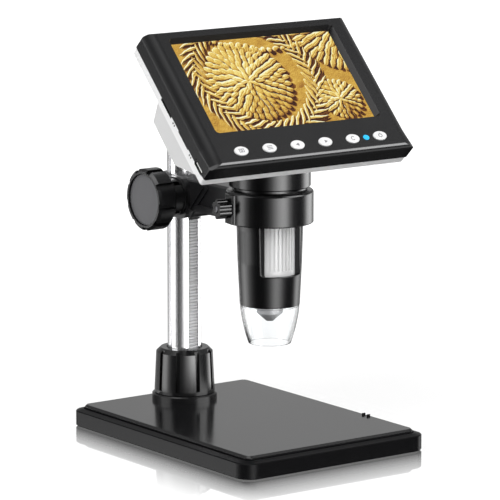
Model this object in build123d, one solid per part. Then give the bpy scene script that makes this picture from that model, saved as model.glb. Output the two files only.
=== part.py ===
from build123d import *
import os
from math import acos, cos, pi, radians, sin, sqrt, tan

# Digital microscope with a fixed tilted screen, on a rack-and-pinion column stand.
# Frame: millimetres, X to the right, Y to the back, Z up, origin under the centre of the base,
# on the surface that the rubber feet stand on. The screen looks forward and up.

# ---------------------------------------------------------------- driving dimensions
# base plate
plate_width = 110.0
plate_depth = 150.0
plate_corner = 8.0
foot_stand = 0.5
rim_edge = 7.8
rim_edge_bevel = 0.4
rim_height = 9.0
rim_slope = 3.2
slab_height = 10.9
slab_inset = 4.4
slab_bevel = 1.0
groove_width = 0.7
groove_depth = 1.0
shell_wall = 3.0
shell_roof = 2.6
cover_ledge = 1.4
cover_thickness = 2.4
weight_thickness = 4.2
weight_margin = 19.0
foot_radius = 6.0
foot_recess = 1.0
foot_inset = 25.0
boss_radius = 3.6
boss_inset = 14.0
edge_mark_width = 1.6
edge_mark_depth = 0.8
edge_mark_places = (-32.5, -37.5)
screw_shaft = 1.3
screw_head = 2.6
screw_head_height = 1.3

# column, socket and lock nut
column_inset = 22.0
column_radius = 8.5
column_bore = 5.0
column_height = 175.5
column_groove_width = 1.3
column_groove_depth = 0.9
column_groove_angle = 184.0
cap_height = 3.0
cap_spigot = 8.0
socket_flange_radius = 16.4
socket_flange_height = 3.3
socket_floor = 1.6
socket_stub_radius = 11.2
socket_stub_height = 18.8
socket_slit = 1.2
socket_slit_depth = 11.0
socket_screw_circle = 13.6
socket_screw_shaft = 1.4
socket_screw_head = 2.5
socket_screw_head_height = 1.6
nut_radius_low = 15.2
nut_radius_high = 14.3
nut_height = 22.8
nut_chamfer = 2.2
nut_lobes = 9
nut_groove_width = 2.2
nut_groove_depth = 1.4
nut_groove_angle = 21.6

# rack and pinion
gear_module = 0.5
pinion_teeth = 18
pinion_face = 6.0
rack_width = 6.0
rack_bar = 1.2
mesh_clearance = 0.06
backlash = 0.12
pinion_z = 117.0
shaft_radius = 2.5
shaft_reach = 8.0

# carriage with arm and ring
sleeve_radius = 12.5
sleeve_bottom = 106.0
sleeve_top = 126.0
housing_half_width = 10.0
housing_left = 12.6
housing_reach = 19.5
housing_round = 5.0
tongue_drop = 2.5
tongue_thickness = 1.4
arm_half_width = 10.0
arm_bottom = 110.7
arm_top = 126.2
arm_rib_height = 3.6
arm_rib_proud = 1.0
ridge_width = 0.9
ridge_proud = 0.9
ridge_spacing = 4.2
ridge_tilt = 43.0
arm_reach = 72.4
ring_radius = 21.3
ring_bottom = 111.3
ring_top = 127.4
ring_round = 1.4
grip_screw_azimuth = 170.0
grip_screw_radius = 1.9
grip_pad_width = 9.2
grip_pad_round = 1.0
grip_boss_proud = 1.0
grip_knob_radius = 4.8
grip_knob_length = 6.2
grip_knob_lobes = 6
cover_radius = 9.0
cover_length = 9.6
cover_flange_radius = 9.6
cover_flange = 1.6
knob_radius = 15.4
knob_length = 10.6
knob_lobes = 9
knob_notch_angle = 12.0
knob_notch_depth = 1.6
knob_turn = 22.5
knob_bevel_width = 1.3
knob_bevel_depth = 1.0
knob_back_bevel = 1.6
knob_cap_radius = 12.8
knob_cap_thickness = 1.6
knob_cap_recess = 1.0
pad_radius = 2.6
pad_length = 1.8

# camera barrel
seat_radius = 17.0
neck_radius = 19.9
neck_bottom = 129.0
neck_top = 143.0
neck_spigot_radius = 18.2
neck_screw_circle = 11.5
neck_screw_shaft = 1.0
neck_screw_head = 1.9
neck_screw_head_height = 1.6
barrel_bottom = 70.7
barrel_mouth = 12.87
barrel_step = 12.0
barrel_floor_bore = 9.0
barrel_floor = 2.5
holder_height = 4.0
barrel_profile = ((14.67, 0.0), (15.75, 21.3), (16.2, 37.3))   # radius, height above the mouth
shoulder_radius = 16.35
barrel_shoulder = 111.6
barrel_top = 141.0
window_start = 216.0
window_end = 307.0
window_bottom = 86.2
window_top = 112.5
window_corner = 1.5
window_flare = 6.5
wheel_radius = 13.1
wheel_bottom = 85.3
wheel_top = 113.5
wheel_band = 3.4
wheel_ribs = 40
wheel_rib_depth = 0.7
wheel_rib_share = 0.56
carrier_radius = 6.45
carrier_bore = 4.6
carrier_top = 104.0
rear_lens_height = 88.0
cone_top = 72.0
cone_shoulder = 66.5
cone_tip = 62.5
cone_tip_radius = 1.9
aperture_radius = 1.2
led_count = 8
led_circle = 9.4
led_radius = 1.25
led_board_bottom = 72.2
led_board_thickness = 1.2
hood_profile = ((14.5, 0.0), (14.25, -3.2), (13.4, -8.2), (12.2, -13.5), (10.6, -18.7))   # from the mouth
hood_wall = 1.2

# head: x across the screen, u up its slope, n out of its face
head_forward = 2.3
head_z = 180.1
screen_tilt = 45.7
bezel_side = 8.05
head_up = 33.0
head_down = 47.5
face_n = 3.0
crest_n = -0.7
crest_low_n = 0.5
crest_low_reach = 12.0
crest_edge = 0.35
roll_width = 9.0
low_round = 2.2
high_round = 1.8
head_corner = 1.2
part_line = -7.0
flange_back = -11.8
flange_inset = 0.4
head_wall = 2.0
case_boss_radius = 2.4
case_screw_radius = 0.9
case_screw_head = 1.8
case_screw_seat = 1.3
case_screw_low_u = -31.6
screen_width = 95.04
screen_height = 53.86
screen_bevel = 1.6
screen_corner = 2.2
panel_border = 5.23
panel_height = 64.0
panel_thickness = 2.6
tray_thickness = 2.0
board_thickness = 1.6
# u, and n from the flange back
box_profile = ((2.4, 0.0), (-1.9, -9.4), (-27.2, -10.0), (-37.0, -2.4), (-40.4, 0.0))
box_wall = 2.0
pod_radius = 21.5
pod_height = 24.0
pod_round = 6.0
pod_wall = 2.4
pod_floor = 2.6
cable_hole_radius = 6.0
battery_size = (62.0, 20.0, 6.0)
battery_top_u = -5.0
main_board_reach = 26.0
main_board_inset = 12.0
button_board_front = -5.1
button_board_inset = 10.0
button_board_up = 4.6
button_board_down = 5.0
key_size = 6.0
key_plunger = 3.4
button_width = 7.8
button_height = 5.2
button_left = 20.05
button_right = 18.8
button_count = 6
button_row_u = -40.1
button_proud = 0.6
button_travel = 0.6
button_flange = 1.1
button_foot = 0.6
button_gap = 0.15
led_mark_offset = 8.3
led_mark_width = 3.4
led_mark_height = 2.9
card_slot_u = -3.8
card_slot_width = 11.4
card_slot_height = 1.7
card_slot_depth = 10.5
side_port_u = -23.3
side_port_width = 10.9
side_port_height = 1.1
side_port_depth = 8.0
socket_length = 12.0
usb_u = -40.4
usb_n = -6.3
usb_width = 8.2
usb_height = 2.8

# clearances
slip = 0.05          # pieces that fit inside one another and stay put
running = 0.08       # a shaft or sleeve that turns or slides
free = 0.3           # faces that pass one another without touching

# ---------------------------------------------------------------- sizes worked out from them
column_y = plate_depth / 2 - column_inset
ring_y = column_y - arm_reach
head_y = ring_y - head_forward
housing_front = column_y - housing_reach
panel_width = screen_width + 2 * panel_border
head_width = panel_width + 2 * bezel_side
slab_width = plate_width - 2 * slab_inset
slab_depth = plate_depth - 2 * slab_inset
slab_corner = plate_corner - slab_inset
cover_top = foot_stand + cover_thickness
roof_low = rim_height - groove_depth - shell_roof
roof_high = slab_height - shell_roof
column_bottom = slab_height + socket_floor
column_top = column_bottom + column_height
stub_top = slab_height + socket_flange_height + socket_stub_height
nut_bottom = slab_height + socket_flange_height + free
nut_top = nut_bottom + nut_height
tooth_pitch = pi * gear_module
addendum = 0.95 * gear_module
dedendum = 1.2 * gear_module
pinion_pitch_radius = pinion_teeth * gear_module / 2
rack_reach = sqrt(column_radius ** 2 - (rack_width / 2) ** 2) - 0.1
rack_pitch_reach = rack_reach - addendum
rack_back = rack_reach - addendum - dedendum - rack_bar
pinion_y = column_y - rack_pitch_reach - pinion_pitch_radius - mesh_clearance
cover_spigot_radius = pinion_pitch_radius + addendum + 0.6
ring_middle = (ring_bottom + ring_top) / 2
ring_bore = seat_radius + running
holder_radius = seat_radius - 2.5
holder_seat = wheel_top + 0.5
sensor_board_bottom = holder_seat + holder_height
neck_spigot_bottom = ring_top + free
knob_face_x = -(housing_left + cover_length + free + knob_length)
knob_back_x = knob_face_x + knob_length
knob_seat_depth = knob_cap_recess + knob_cap_thickness
far = 2 * head_width
panel_top = head_up - head_wall - 0.3
panel_bottom = panel_top - panel_height
tray_back = -panel_thickness - tray_thickness
main_board_back = tray_back - board_thickness
button_board_back = button_board_front - board_thickness
button_pitch = (head_width - button_left - button_right) / (button_count - 1)
button_xs = [button_left - head_width / 2 + index * button_pitch for index in range(button_count)]
led_mark_x = button_xs[-1] - led_mark_offset
pod_top = neck_top + pod_height
flange_width = head_width - 2 * flange_inset
flange_up = head_up - flange_inset
flange_down = head_down - flange_inset
head_place = Location((0, head_y, head_z), (screen_tilt, 0, 0))


# ---------------------------------------------------------------- shapes used more than once
def block(x0, x1, y0, y1, z0, z1):
    """Box between two corners."""
    size = Box(x1 - x0, y1 - y0, z1 - z0, align=(Align.MIN, Align.MIN, Align.MIN))
    return Pos(x0, y0, z0) * size


def disc(radius, z0, z1, x=0.0, y=0.0):
    """Upright cylinder between two heights."""
    body = Cylinder(radius, z1 - z0, align=(Align.CENTER, Align.CENTER, Align.MIN))
    return Pos(x, y, z0) * body


def tube(outer, inner, z0, z1, x=0.0, y=0.0):
    """Upright tube between two heights."""
    return disc(outer, z0, z1, x, y) - disc(inner, z0 - 1, z1 + 1, x, y)


def rod_x(radius, x0, x1, y, z):
    """Cylinder along X."""
    return Pos(x0, y, z) * Rot(0, 90, 0) * disc(radius, 0, x1 - x0)


def plate(width, depth, corner, z0, z1):
    """Upright plate with rounded corners."""
    return Pos(0, 0, z0) * extrude(RectangleRounded(width, depth, corner), z1 - z0)


def lathe(points, x=0.0, y=0.0):
    """Solid of revolution about an upright axis, from (radius, height) points."""
    outline = Polyline(*[(radius, 0, height) for radius, height in points], close=True)
    return Pos(x, y, 0) * revolve(make_face(outline), Axis.Z)


def grip_axis():
    """Place on the ring's own axis whose local Z points outwards along the grip screw."""
    return Location((0, ring_y, ring_middle), (0, 0, grip_screw_azimuth)) * Location((0, 0, 0), (0, 90, 0))


def slab_u(u0, u1, n0, n1, x0, x1):
    """Box in the head's own x, u, n."""
    return block(x0, x1, u0, u1, n0, n1)


def oval(width, height, n0, n1, x, u):
    """Oval prism along the face normal, in the head's own x, u, n."""
    return Pos(x, u, n0) * extrude(Ellipse(width / 2, height / 2), n1 - n0)


def side_prism(points, x0, x1):
    """Prism along X with an outline of (y, z) points, or (u, n) in the head."""
    outline = Polyline(*[(x0, first, second) for first, second in points], close=True)
    return extrude(make_face(outline), x1 - x0, dir=(1, 0, 0))


def headed_screw(shaft, head, head_height, length):
    """Screw along +Z with the underside of its head at zero."""
    return disc(shaft, 0, length) + disc(head, -head_height, 0)


# ---------------------------------------------------------------- base
def boss_places():
    x = plate_width / 2 - boss_inset
    y = plate_depth / 2 - boss_inset
    return [(-x, -y), (x, -y), (-x, y), (x, y)]


def foot_places():
    x = plate_width / 2 - foot_inset
    y = plate_depth / 2 - foot_inset
    return [(-x, -y), (x, -y), (-x, y), (x, y)]


def socket_screw_places():
    angles = [radians(angle) for angle in (30, 150, 270)]
    circle = socket_screw_circle
    return [(circle * cos(angle), column_y + circle * sin(angle)) for angle in angles]


def inset_plan(inset):
    """Outline of the base plate, drawn in by a distance."""
    return RectangleRounded(plate_width - 2 * inset, plate_depth - 2 * inset, plate_corner - inset)


def make_base_shell():
    rim = plate(plate_width, plate_depth, plate_corner, foot_stand, rim_edge)
    rim = chamfer(rim.edges().group_by(Axis.Z)[0], 0.4)
    rings = [(0, rim_edge), (rim_edge_bevel, rim_edge + rim_edge_bevel), (rim_slope, rim_height)]
    for (near, low), (far_in, high) in zip(rings, rings[1:]):
        rim += loft([Pos(0, 0, low) * inset_plan(near), Pos(0, 0, high) * inset_plan(far_in)])
    slab = plate(slab_width, slab_depth, slab_corner, rim_height - groove_depth, slab_height)
    slab = chamfer(slab.edges().group_by(Axis.Z)[-1], slab_bevel)
    groove = plate(slab_width + 2 * groove_width, slab_depth + 2 * groove_width,
                   slab_corner + groove_width, rim_height - groove_depth, slab_height)
    body = rim - groove + slab
    recess = plate_width - 2 * (shell_wall - cover_ledge)
    recess_depth = plate_depth - 2 * (shell_wall - cover_ledge)
    body -= plate(recess, recess_depth, plate_corner - shell_wall + cover_ledge, 0, cover_top)
    body -= plate(plate_width - 2 * shell_wall, plate_depth - 2 * shell_wall,
                  plate_corner - shell_wall, 0, roof_low)
    inner = slab_inset + shell_wall
    body -= plate(plate_width - 2 * inner, plate_depth - 2 * inner, 2.0, 0, roof_high)
    for x, y in boss_places():
        body += tube(boss_radius, screw_shaft + slip, cover_top, roof_high, x, y)
    for x, y in socket_screw_places():
        body -= disc(socket_screw_shaft + 0.1, 0, slab_height + 1, x, y)
    for y in edge_mark_places:
        near, far = y - edge_mark_width / 2, y + edge_mark_width / 2
        body -= block(slab_width / 2 - edge_mark_depth, slab_width / 2 + groove_width, near, far,
                      rim_height - groove_depth, slab_height + 1)
    return body


def make_base_cover():
    width = plate_width - 2 * (shell_wall - cover_ledge) - 2 * slip
    depth = plate_depth - 2 * (shell_wall - cover_ledge) - 2 * slip
    body = plate(width, depth, plate_corner - shell_wall + cover_ledge - slip, foot_stand, cover_top)
    for x, y in boss_places():
        body -= disc(screw_shaft + 0.15, 0, cover_top + 1, x, y)
        body -= disc(screw_head + 0.2, 0, foot_stand + screw_head_height, x, y)
    for x, y in foot_places():
        body -= disc(foot_radius + slip, 0, foot_stand + foot_recess, x, y)
    return body


def make_base_weight():
    width = plate_width - 2 * weight_margin
    depth = plate_depth - 2 * weight_margin
    body = plate(width, depth, 4.0, cover_top, cover_top + weight_thickness)
    return body - disc(socket_flange_radius + 0.6, 0, slab_height, 0, column_y)


def make_base_screws():
    top = roof_high - 0.5
    seat = foot_stand + screw_head_height
    screw = headed_screw(screw_shaft, screw_head, screw_head_height - 0.2, top - seat)
    return Compound(children=[Pos(x, y, seat) * screw for x, y in boss_places()])


def make_foot(x, y):
    body = disc(foot_radius, 0, foot_stand + foot_recess, x, y)
    return chamfer(body.edges().group_by(Axis.Z)[0], 0.3)


def make_column_socket():
    flange_top = slab_height + socket_flange_height
    flange = disc(socket_flange_radius, slab_height, flange_top, 0, column_y)
    flange = chamfer(flange.edges().group_by(Axis.Z)[-1], 0.6)
    body = flange + disc(socket_stub_radius, slab_height, stub_top, 0, column_y)
    body -= disc(column_radius + slip, column_bottom, stub_top + 1, 0, column_y)
    slit = block(-socket_stub_radius - 1, socket_stub_radius + 1, -socket_slit / 2, socket_slit / 2,
                 stub_top - socket_slit_depth, stub_top + 1)
    for turn in (45, 135):
        body -= Pos(0, column_y, 0) * Rot(0, 0, turn) * slit
    for x, y in socket_screw_places():
        body -= disc(socket_screw_shaft + slip, 0, flange_top - 0.8, x, y)
    return body


def make_socket_screws():
    length = slab_height - roof_high + socket_flange_height - 1.0
    screw = headed_screw(socket_screw_shaft, socket_screw_head, socket_screw_head_height, length)
    return Compound(children=[Pos(x, y, roof_high) * screw for x, y in socket_screw_places()])


def column_outline():
    """Section of the column: a tube with a slot for the rack and a narrow guide groove."""
    section = Circle(column_radius) - Circle(column_bore)
    slot_width = rack_width + 2 * slip
    section -= Pos(0, -(rack_back - slip) - 5) * Rectangle(slot_width, 10)
    groove = Pos(column_radius, 0) * Rectangle(2 * column_groove_depth, column_groove_width)
    return section - Rot(0, 0, column_groove_angle) * groove


def make_column():
    return Pos(0, column_y, column_bottom) * extrude(column_outline(), column_height)


def make_column_cap():
    body = disc(column_radius, column_top, column_top + cap_height, 0, column_y)
    body = fillet(body.edges().group_by(Axis.Z)[-1], 1.2)
    return body + disc(column_bore - slip, column_top - cap_spigot, column_top + 0.5, 0, column_y)


def make_rack():
    """Toothed bar in the column's front slot, with one tooth level with the pinion's axis."""
    slope = tan(radians(20))
    half_at_pitch = tooth_pitch / 4 - backlash / 4
    half_tip = half_at_pitch - addendum * slope
    half_root = half_at_pitch + dedendum * slope
    low = int((column_bottom + 2 - pinion_z) / tooth_pitch)
    high = int((column_top - 2 - pinion_z) / tooth_pitch)
    front = column_y - rack_pitch_reach - addendum
    valley = column_y - rack_pitch_reach + dedendum
    points = [(valley, column_bottom)]
    for index in range(low, high + 1):
        middle = pinion_z + index * tooth_pitch
        points += [(valley, middle - half_root), (front, middle - half_tip),
                   (front, middle + half_tip), (valley, middle + half_root)]
    back = column_y - rack_back
    points += [(valley, column_top), (back, column_top), (back, column_bottom)]
    return side_prism(points, -rack_width / 2, rack_width / 2)


def make_lock_nut():
    top = nut_top
    bore = column_radius + 0.5
    body = lathe(((bore, nut_bottom), (nut_radius_low, nut_bottom), (nut_radius_low, nut_bottom + 1.6),
                  (nut_radius_high, top - nut_chamfer), (nut_radius_high - nut_chamfer, top), (bore, top)),
                 0, column_y)
    body -= disc(socket_stub_radius + running, nut_bottom - 1, stub_top + 0.5, 0, column_y)
    groove = block(nut_radius_high - nut_groove_depth, nut_radius_low + 2, -nut_groove_width / 2,
                   nut_groove_width / 2, nut_bottom + 1.8, top + 1)
    cuts = [Rot(0, 0, nut_groove_angle + index * 360 / nut_lobes) * groove for index in range(nut_lobes)]
    return body - [Pos(0, column_y, 0) * cut for cut in cuts]


# ---------------------------------------------------------------- carriage
def make_carriage():
    sleeve = disc(sleeve_radius, sleeve_bottom, sleeve_top, 0, column_y)
    sleeve = fillet(sleeve.edges().group_by(Axis.Z)[-1], 1.2)
    housing = block(-housing_left, housing_half_width, housing_front, column_y, sleeve_bottom, sleeve_top)
    front = housing.edges().filter_by(Axis.X).sort_by(Axis.Y)
    housing = fillet(front[0:2], housing_round - 0.5)
    arm = block(-arm_half_width, arm_half_width, ring_y + ring_bore - 3, column_y, arm_bottom, arm_top)
    arm = fillet(arm.edges().filter_by(Axis.Y).group_by(Axis.Z)[-1], 1.4)
    rib_front = ring_y + sqrt(ring_radius ** 2 - arm_half_width ** 2) - 1
    rib = block(-arm_half_width - arm_rib_proud, arm_half_width + arm_rib_proud, rib_front,
                housing_front - 5, arm_bottom, arm_bottom + arm_rib_height)
    ring = disc(ring_radius, ring_bottom, ring_top, 0, ring_y)
    ring = fillet(ring.edges().group_by(Axis.Z)[-1], ring_round)
    ring = fillet(ring.edges().group_by(Axis.Z)[0], 0.6)
    pad = block(ring_bore, ring_radius + grip_boss_proud, -grip_pad_width / 2, grip_pad_width / 2,
                ring_bottom + 0.5, ring_top - ring_round)
    pad = fillet(pad.edges().filter_by(Axis.Z).group_by(Axis.X)[-1], grip_pad_round)
    body = sleeve + housing + arm + rib + ring + Pos(0, ring_y, 0) * Rot(0, 0, grip_screw_azimuth) * pad
    ridge_length = (arm_top - sleeve_bottom) / cos(radians(ridge_tilt)) - 5
    ridge = block(-arm_half_width - ridge_proud, -arm_half_width + 0.5, -ridge_width / 2, ridge_width / 2,
                  -ridge_length / 2, ridge_length / 2)
    ridge_z = (arm_top + sleeve_bottom) / 2 - 0.6
    for offset in (0, -ridge_spacing):
        body += Pos(0, housing_front - 4 + offset, ridge_z) * Rot(ridge_tilt, 0, 0) * ridge
    tongue_back = column_y - rack_reach - free
    body += block(-rack_width / 2, rack_width / 2, tongue_back - tongue_thickness, tongue_back,
                  sleeve_bottom - tongue_drop, sleeve_bottom + 1)
    body -= disc(column_radius + running, sleeve_bottom - 5, sleeve_top + 5, 0, column_y)
    body -= disc(ring_bore, ring_bottom - 5, ring_top + 5, 0, ring_y)
    pocket = pinion_pitch_radius + addendum + 0.4
    body -= rod_x(pocket, -pinion_face / 2 - 0.3, pinion_face / 2 + 0.3, pinion_y, pinion_z)
    body -= block(-pinion_face / 2 - 0.3, pinion_face / 2 + 0.3, pinion_y, column_y - column_bore,
                  pinion_z - 3.4, pinion_z + 3.4)
    body -= rod_x(cover_spigot_radius + slip, -housing_left - 15, -pinion_face / 2, pinion_y, pinion_z)
    body -= rod_x(shaft_radius + running, 0, shaft_reach + 0.5, pinion_y, pinion_z)
    body -= grip_axis() * disc(grip_screw_radius + running, ring_bore - 2, ring_radius + 5)
    body -= pad_hole(pad_radius + slip, column_radius - 1, sleeve_radius + 2)
    for place in cover_screw_places():
        body -= place * disc(0.85, -6.6, 5)
    return body


def pad_hole(radius, start, end):
    """Cylinder along the tension screw's line, from the column's axis backwards."""
    centre = Pos(0, column_y + start, (sleeve_bottom + sleeve_top) / 2)
    return centre * Rot(-90, 0, 0) * disc(radius, 0, end - start)


def cover_screw_places():
    """Screws of the pinion's cover: local Z points left, out of the housing's face."""
    radius = (cover_spigot_radius + cover_flange_radius) / 2 + 0.2
    places = []
    for angle in (125, 235):
        y = pinion_y + radius * cos(radians(angle))
        z = pinion_z + radius * sin(radians(angle))
        places.append(Pos(-housing_left, y, z) * Rot(0, -90, 0))
    return places


def make_friction_pad():
    start = column_radius + running
    body = pad_hole(pad_radius, start, start + pad_length)
    return body - disc(column_radius + running, sleeve_bottom, sleeve_top, 0, column_y)


def make_tension_screw():
    start = column_radius + running + pad_length
    body = pad_hole(pad_radius, start, sleeve_radius - 0.2)
    centre = Pos(0, column_y + sleeve_radius - 0.2, (sleeve_bottom + sleeve_top) / 2)
    slot = centre * Box(2 * pad_radius, 1.6, 0.7)
    return body - slot


def make_pinion_cover():
    body = rod_x(cover_radius, -housing_left - cover_length, -housing_left, pinion_y, pinion_z)
    body += rod_x(cover_flange_radius, -housing_left - cover_flange, -housing_left, pinion_y, pinion_z)
    body += rod_x(cover_spigot_radius, -housing_left, -column_radius - 0.6, pinion_y, pinion_z)
    body -= rod_x(shaft_radius + running, -housing_left - cover_length - 1, 0, pinion_y, pinion_z)
    for place in cover_screw_places():
        body -= place * disc(0.95, -1, cover_length + 1)
        body -= place * disc(1.75, cover_flange, cover_length + 1)
    return body


def make_cover_screws():
    screws = []
    for place in cover_screw_places():
        shape = disc(0.8, -6, cover_flange) + disc(1.6, cover_flange, cover_flange + 1.1)
        screws.append(place * shape)
    return Compound(children=screws)


def pinion_outline():
    """Involute teeth with a gap on the local X axis."""
    pitch_radius = pinion_pitch_radius
    base_radius = pitch_radius * cos(radians(20))
    tip_radius = pitch_radius + addendum
    root_radius = pitch_radius - dedendum
    half_pitch = pi / (2 * pinion_teeth) - backlash / (4 * pitch_radius)
    involute_at_pitch = tan(radians(20)) - radians(20)
    flank = []
    steps = 5
    for step in range(steps + 1):
        radius = base_radius + (tip_radius - base_radius) * step / steps
        pressure = acos(base_radius / radius)
        flank.append((radius, half_pitch + involute_at_pitch - (tan(pressure) - pressure)))
    points = []
    for tooth in range(pinion_teeth):
        middle = (tooth + 0.5) * 2 * pi / pinion_teeth
        left = [(root_radius, flank[0][1])] + flank
        for radius, half in left:
            points.append((radius * cos(middle - half), radius * sin(middle - half)))
        for radius, half in reversed(left):
            points.append((radius * cos(middle + half), radius * sin(middle + half)))
    return make_face(Polyline(*points, close=True))


def make_pinion_shaft():
    teeth = extrude(pinion_outline(), pinion_face)
    across = Plane(origin=(-pinion_face / 2, pinion_y, pinion_z), x_dir=(0, 1, 0), z_dir=(1, 0, 0))
    teeth = across.location * teeth
    start = knob_face_x + knob_seat_depth + 1.0
    return teeth + rod_x(shaft_radius, start, shaft_reach, pinion_y, pinion_z)


def make_knob():
    """Round grip with shallow notches, a rim bevel and a seat for the flat end disc."""
    front = knob_length - knob_bevel_depth
    body = lathe(((0, 0), (knob_radius - knob_back_bevel, 0), (knob_radius, knob_back_bevel),
                  (knob_radius, front), (knob_radius - knob_bevel_width, knob_length), (0, knob_length)))
    half = radians(knob_notch_angle / 2)
    inner = knob_radius - knob_notch_depth
    outer = knob_radius + 1
    depth = (outer - inner) * cos(half)
    notch = Pos(inner * cos(half) + depth / 2, 0) * Rectangle(depth, 2 * inner * sin(half))
    notch = Pos(0, 0, -1) * extrude(notch, knob_length + 2)
    body -= [Rot(0, 0, knob_turn + index * 360 / knob_lobes) * notch for index in range(knob_lobes)]
    body -= disc(knob_cap_radius + slip, knob_length - knob_seat_depth, knob_length + 1)
    body -= disc(shaft_radius + slip, -1, knob_length)
    return Pos(knob_back_x, pinion_y, pinion_z) * Rot(0, -90, 0) * body


def make_knob_cap():
    body = disc(knob_cap_radius, 0, knob_cap_thickness - 0.1)
    body = chamfer(body.edges().group_by(Axis.Z)[-1], 0.25)
    return Pos(knob_face_x + knob_seat_depth, pinion_y, pinion_z) * Rot(0, -90, 0) * body


def make_grip_screw():
    start = seat_radius + free
    body = disc(grip_screw_radius, start, grip_knob_start() + grip_knob_length + 0.5)
    return grip_axis() * fillet(body.edges().group_by(Axis.Z)[-1], 0.8)


def grip_knob_start():
    return ring_radius + grip_boss_proud + free


def make_grip_knob():
    start = grip_knob_start()
    lobe_circle = grip_knob_radius * 0.72
    lobe_radius = grip_knob_radius - lobe_circle
    section = Circle(grip_knob_radius * 0.8)
    for index in range(grip_knob_lobes):
        section += Rot(0, 0, index * 360 / grip_knob_lobes) * Pos(lobe_circle, 0) * Circle(lobe_radius)
    body = Pos(0, 0, start) * extrude(section, grip_knob_length)
    return grip_axis() * (body - disc(grip_screw_radius + slip, start - 1, start + grip_knob_length + 1))


# ---------------------------------------------------------------- camera barrel
def make_barrel():
    wheel_bore = wheel_radius + 0.4
    board_top = led_board_bottom + led_board_thickness
    floor_top = wheel_bottom - free
    floor_low = floor_top - barrel_floor
    outer = [(radius, barrel_bottom + rise) for radius, rise in barrel_profile]
    outer += [(shoulder_radius, barrel_shoulder), (seat_radius, barrel_shoulder), (seat_radius, barrel_top)]
    inner = [(holder_radius, barrel_top), (holder_radius, holder_seat), (wheel_bore, holder_seat),
             (wheel_bore, floor_top), (barrel_floor_bore, floor_top), (barrel_floor_bore, floor_low),
             (barrel_step, floor_low), (barrel_step, board_top), (barrel_mouth, board_top),
             (barrel_mouth, barrel_bottom)]
    body = lathe(outer + inner, 0, ring_y)
    return body - window_cutter()


def window_cutter():
    """Opening with flared sides and rounded corners, straight in from the bore's wall."""
    middle = radians((window_start + window_end) / 2)
    outward = Vector(cos(middle), sin(middle), 0)
    centre = Vector(0, ring_y, (window_bottom + window_top) / 2)
    outer_half = (window_end - window_start) / 2
    depths, halves = [], []
    inner_half = outer_half - window_flare
    for radius, angle in ((wheel_radius + 0.4, inner_half), (barrel_profile[2][0], outer_half)):
        depths.append(radius * cos(radians(angle)))
        halves.append(radius * sin(radians(angle)))
    slope = (halves[1] - halves[0]) / (depths[1] - depths[0])
    far_half = halves[0] + slope * (ring_radius - depths[0])

    def opening(reach, half_width):
        flat = Plane(centre + outward * reach, x_dir=(-sin(middle), cos(middle), 0), z_dir=outward)
        return flat * RectangleRounded(2 * half_width, window_top - window_bottom, window_corner)

    straight = loft([opening(window_corner, halves[0]), opening(depths[0], halves[0])])
    return straight + loft([opening(depths[0], halves[0]), opening(ring_radius, far_half)])


def make_neck():
    bore = seat_radius + slip
    body = lathe(((bore, neck_spigot_bottom), (neck_spigot_radius, neck_spigot_bottom),
                  (neck_spigot_radius, neck_bottom), (neck_radius - 0.5, neck_bottom),
                  (neck_radius, neck_bottom + 0.5), (neck_radius, neck_top), (cable_hole_radius, neck_top),
                  (cable_hole_radius, barrel_top), (bore, barrel_top)), 0, ring_y)
    for place in neck_screw_places():
        body -= place * disc(neck_screw_shaft + 0.1, barrel_top - neck_top - 1, 1)
    return body


def neck_screw_places():
    """Screws that hold the neck under the housing; local Z is up, zero at the neck's top face."""
    angles = [radians(angle) for angle in (30, 150, 270)]
    circle = neck_screw_circle
    return [Pos(circle * cos(angle), ring_y + circle * sin(angle), neck_top) for angle in angles]


def make_sensor_holder():
    return tube(holder_radius - slip, 6.6, holder_seat, sensor_board_bottom, 0, ring_y)


def make_sensor_board():
    top = sensor_board_bottom + board_thickness
    body = disc(holder_radius - 0.3, sensor_board_bottom, top, 0, ring_y)
    chip = block(-4, 4, ring_y - 3, ring_y + 5, top, top + 1.2)
    socket = block(-5, 5, ring_y - 10, ring_y - 6, top, top + 2.0)
    return body + chip + socket


def make_image_sensor():
    return block(-4, 4, ring_y - 4, ring_y + 4, sensor_board_bottom - 1.6, sensor_board_bottom)


def make_focus_wheel():
    shell = wheel_radius - 2.0
    web_low = wheel_bottom + 9.7
    web_high = web_low + 4.5
    bore = carrier_radius + running
    body = lathe(((shell, wheel_bottom), (wheel_radius, wheel_bottom), (wheel_radius, wheel_top),
                  (shell, wheel_top), (shell, web_high), (bore, web_high), (bore, web_low), (shell, web_low)),
                 0, ring_y)
    valley = wheel_radius - wheel_rib_depth
    band_top = wheel_bottom + wheel_band
    pitch = 2 * pi * wheel_radius / wheel_ribs
    half = pitch * (1 - wheel_rib_share) / 2
    slot = block(valley, wheel_radius + 1, -half, half, band_top, wheel_top - 1.5)
    cuts = [Pos(0, ring_y, 0) * Rot(0, 0, index * 360 / wheel_ribs) * slot for index in range(wheel_ribs)]
    return body - cuts


def make_lens_carrier():
    return tube(carrier_radius, carrier_bore, cone_top, carrier_top, 0, ring_y)


def make_lens_cone():
    inner = carrier_bore - 0.6
    return lathe(((inner, cone_top), (carrier_radius, cone_top), (carrier_radius, cone_shoulder),
                  (cone_tip_radius, cone_tip), (aperture_radius, cone_tip), (aperture_radius, cone_tip + 0.9),
                  (inner, cone_shoulder + 0.8)), 0, ring_y)


def make_lens(radius, bottom, thickness, sag):
    """Biconvex lens with an upright axis."""
    top = bottom + thickness
    return lathe(((0, bottom), (radius, bottom + sag), (radius, top - sag), (0, top)), 0, ring_y)


def make_led_board():
    return tube(barrel_mouth - 0.17, carrier_radius + 0.2, led_board_bottom,
                led_board_bottom + led_board_thickness, 0, ring_y)


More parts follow.
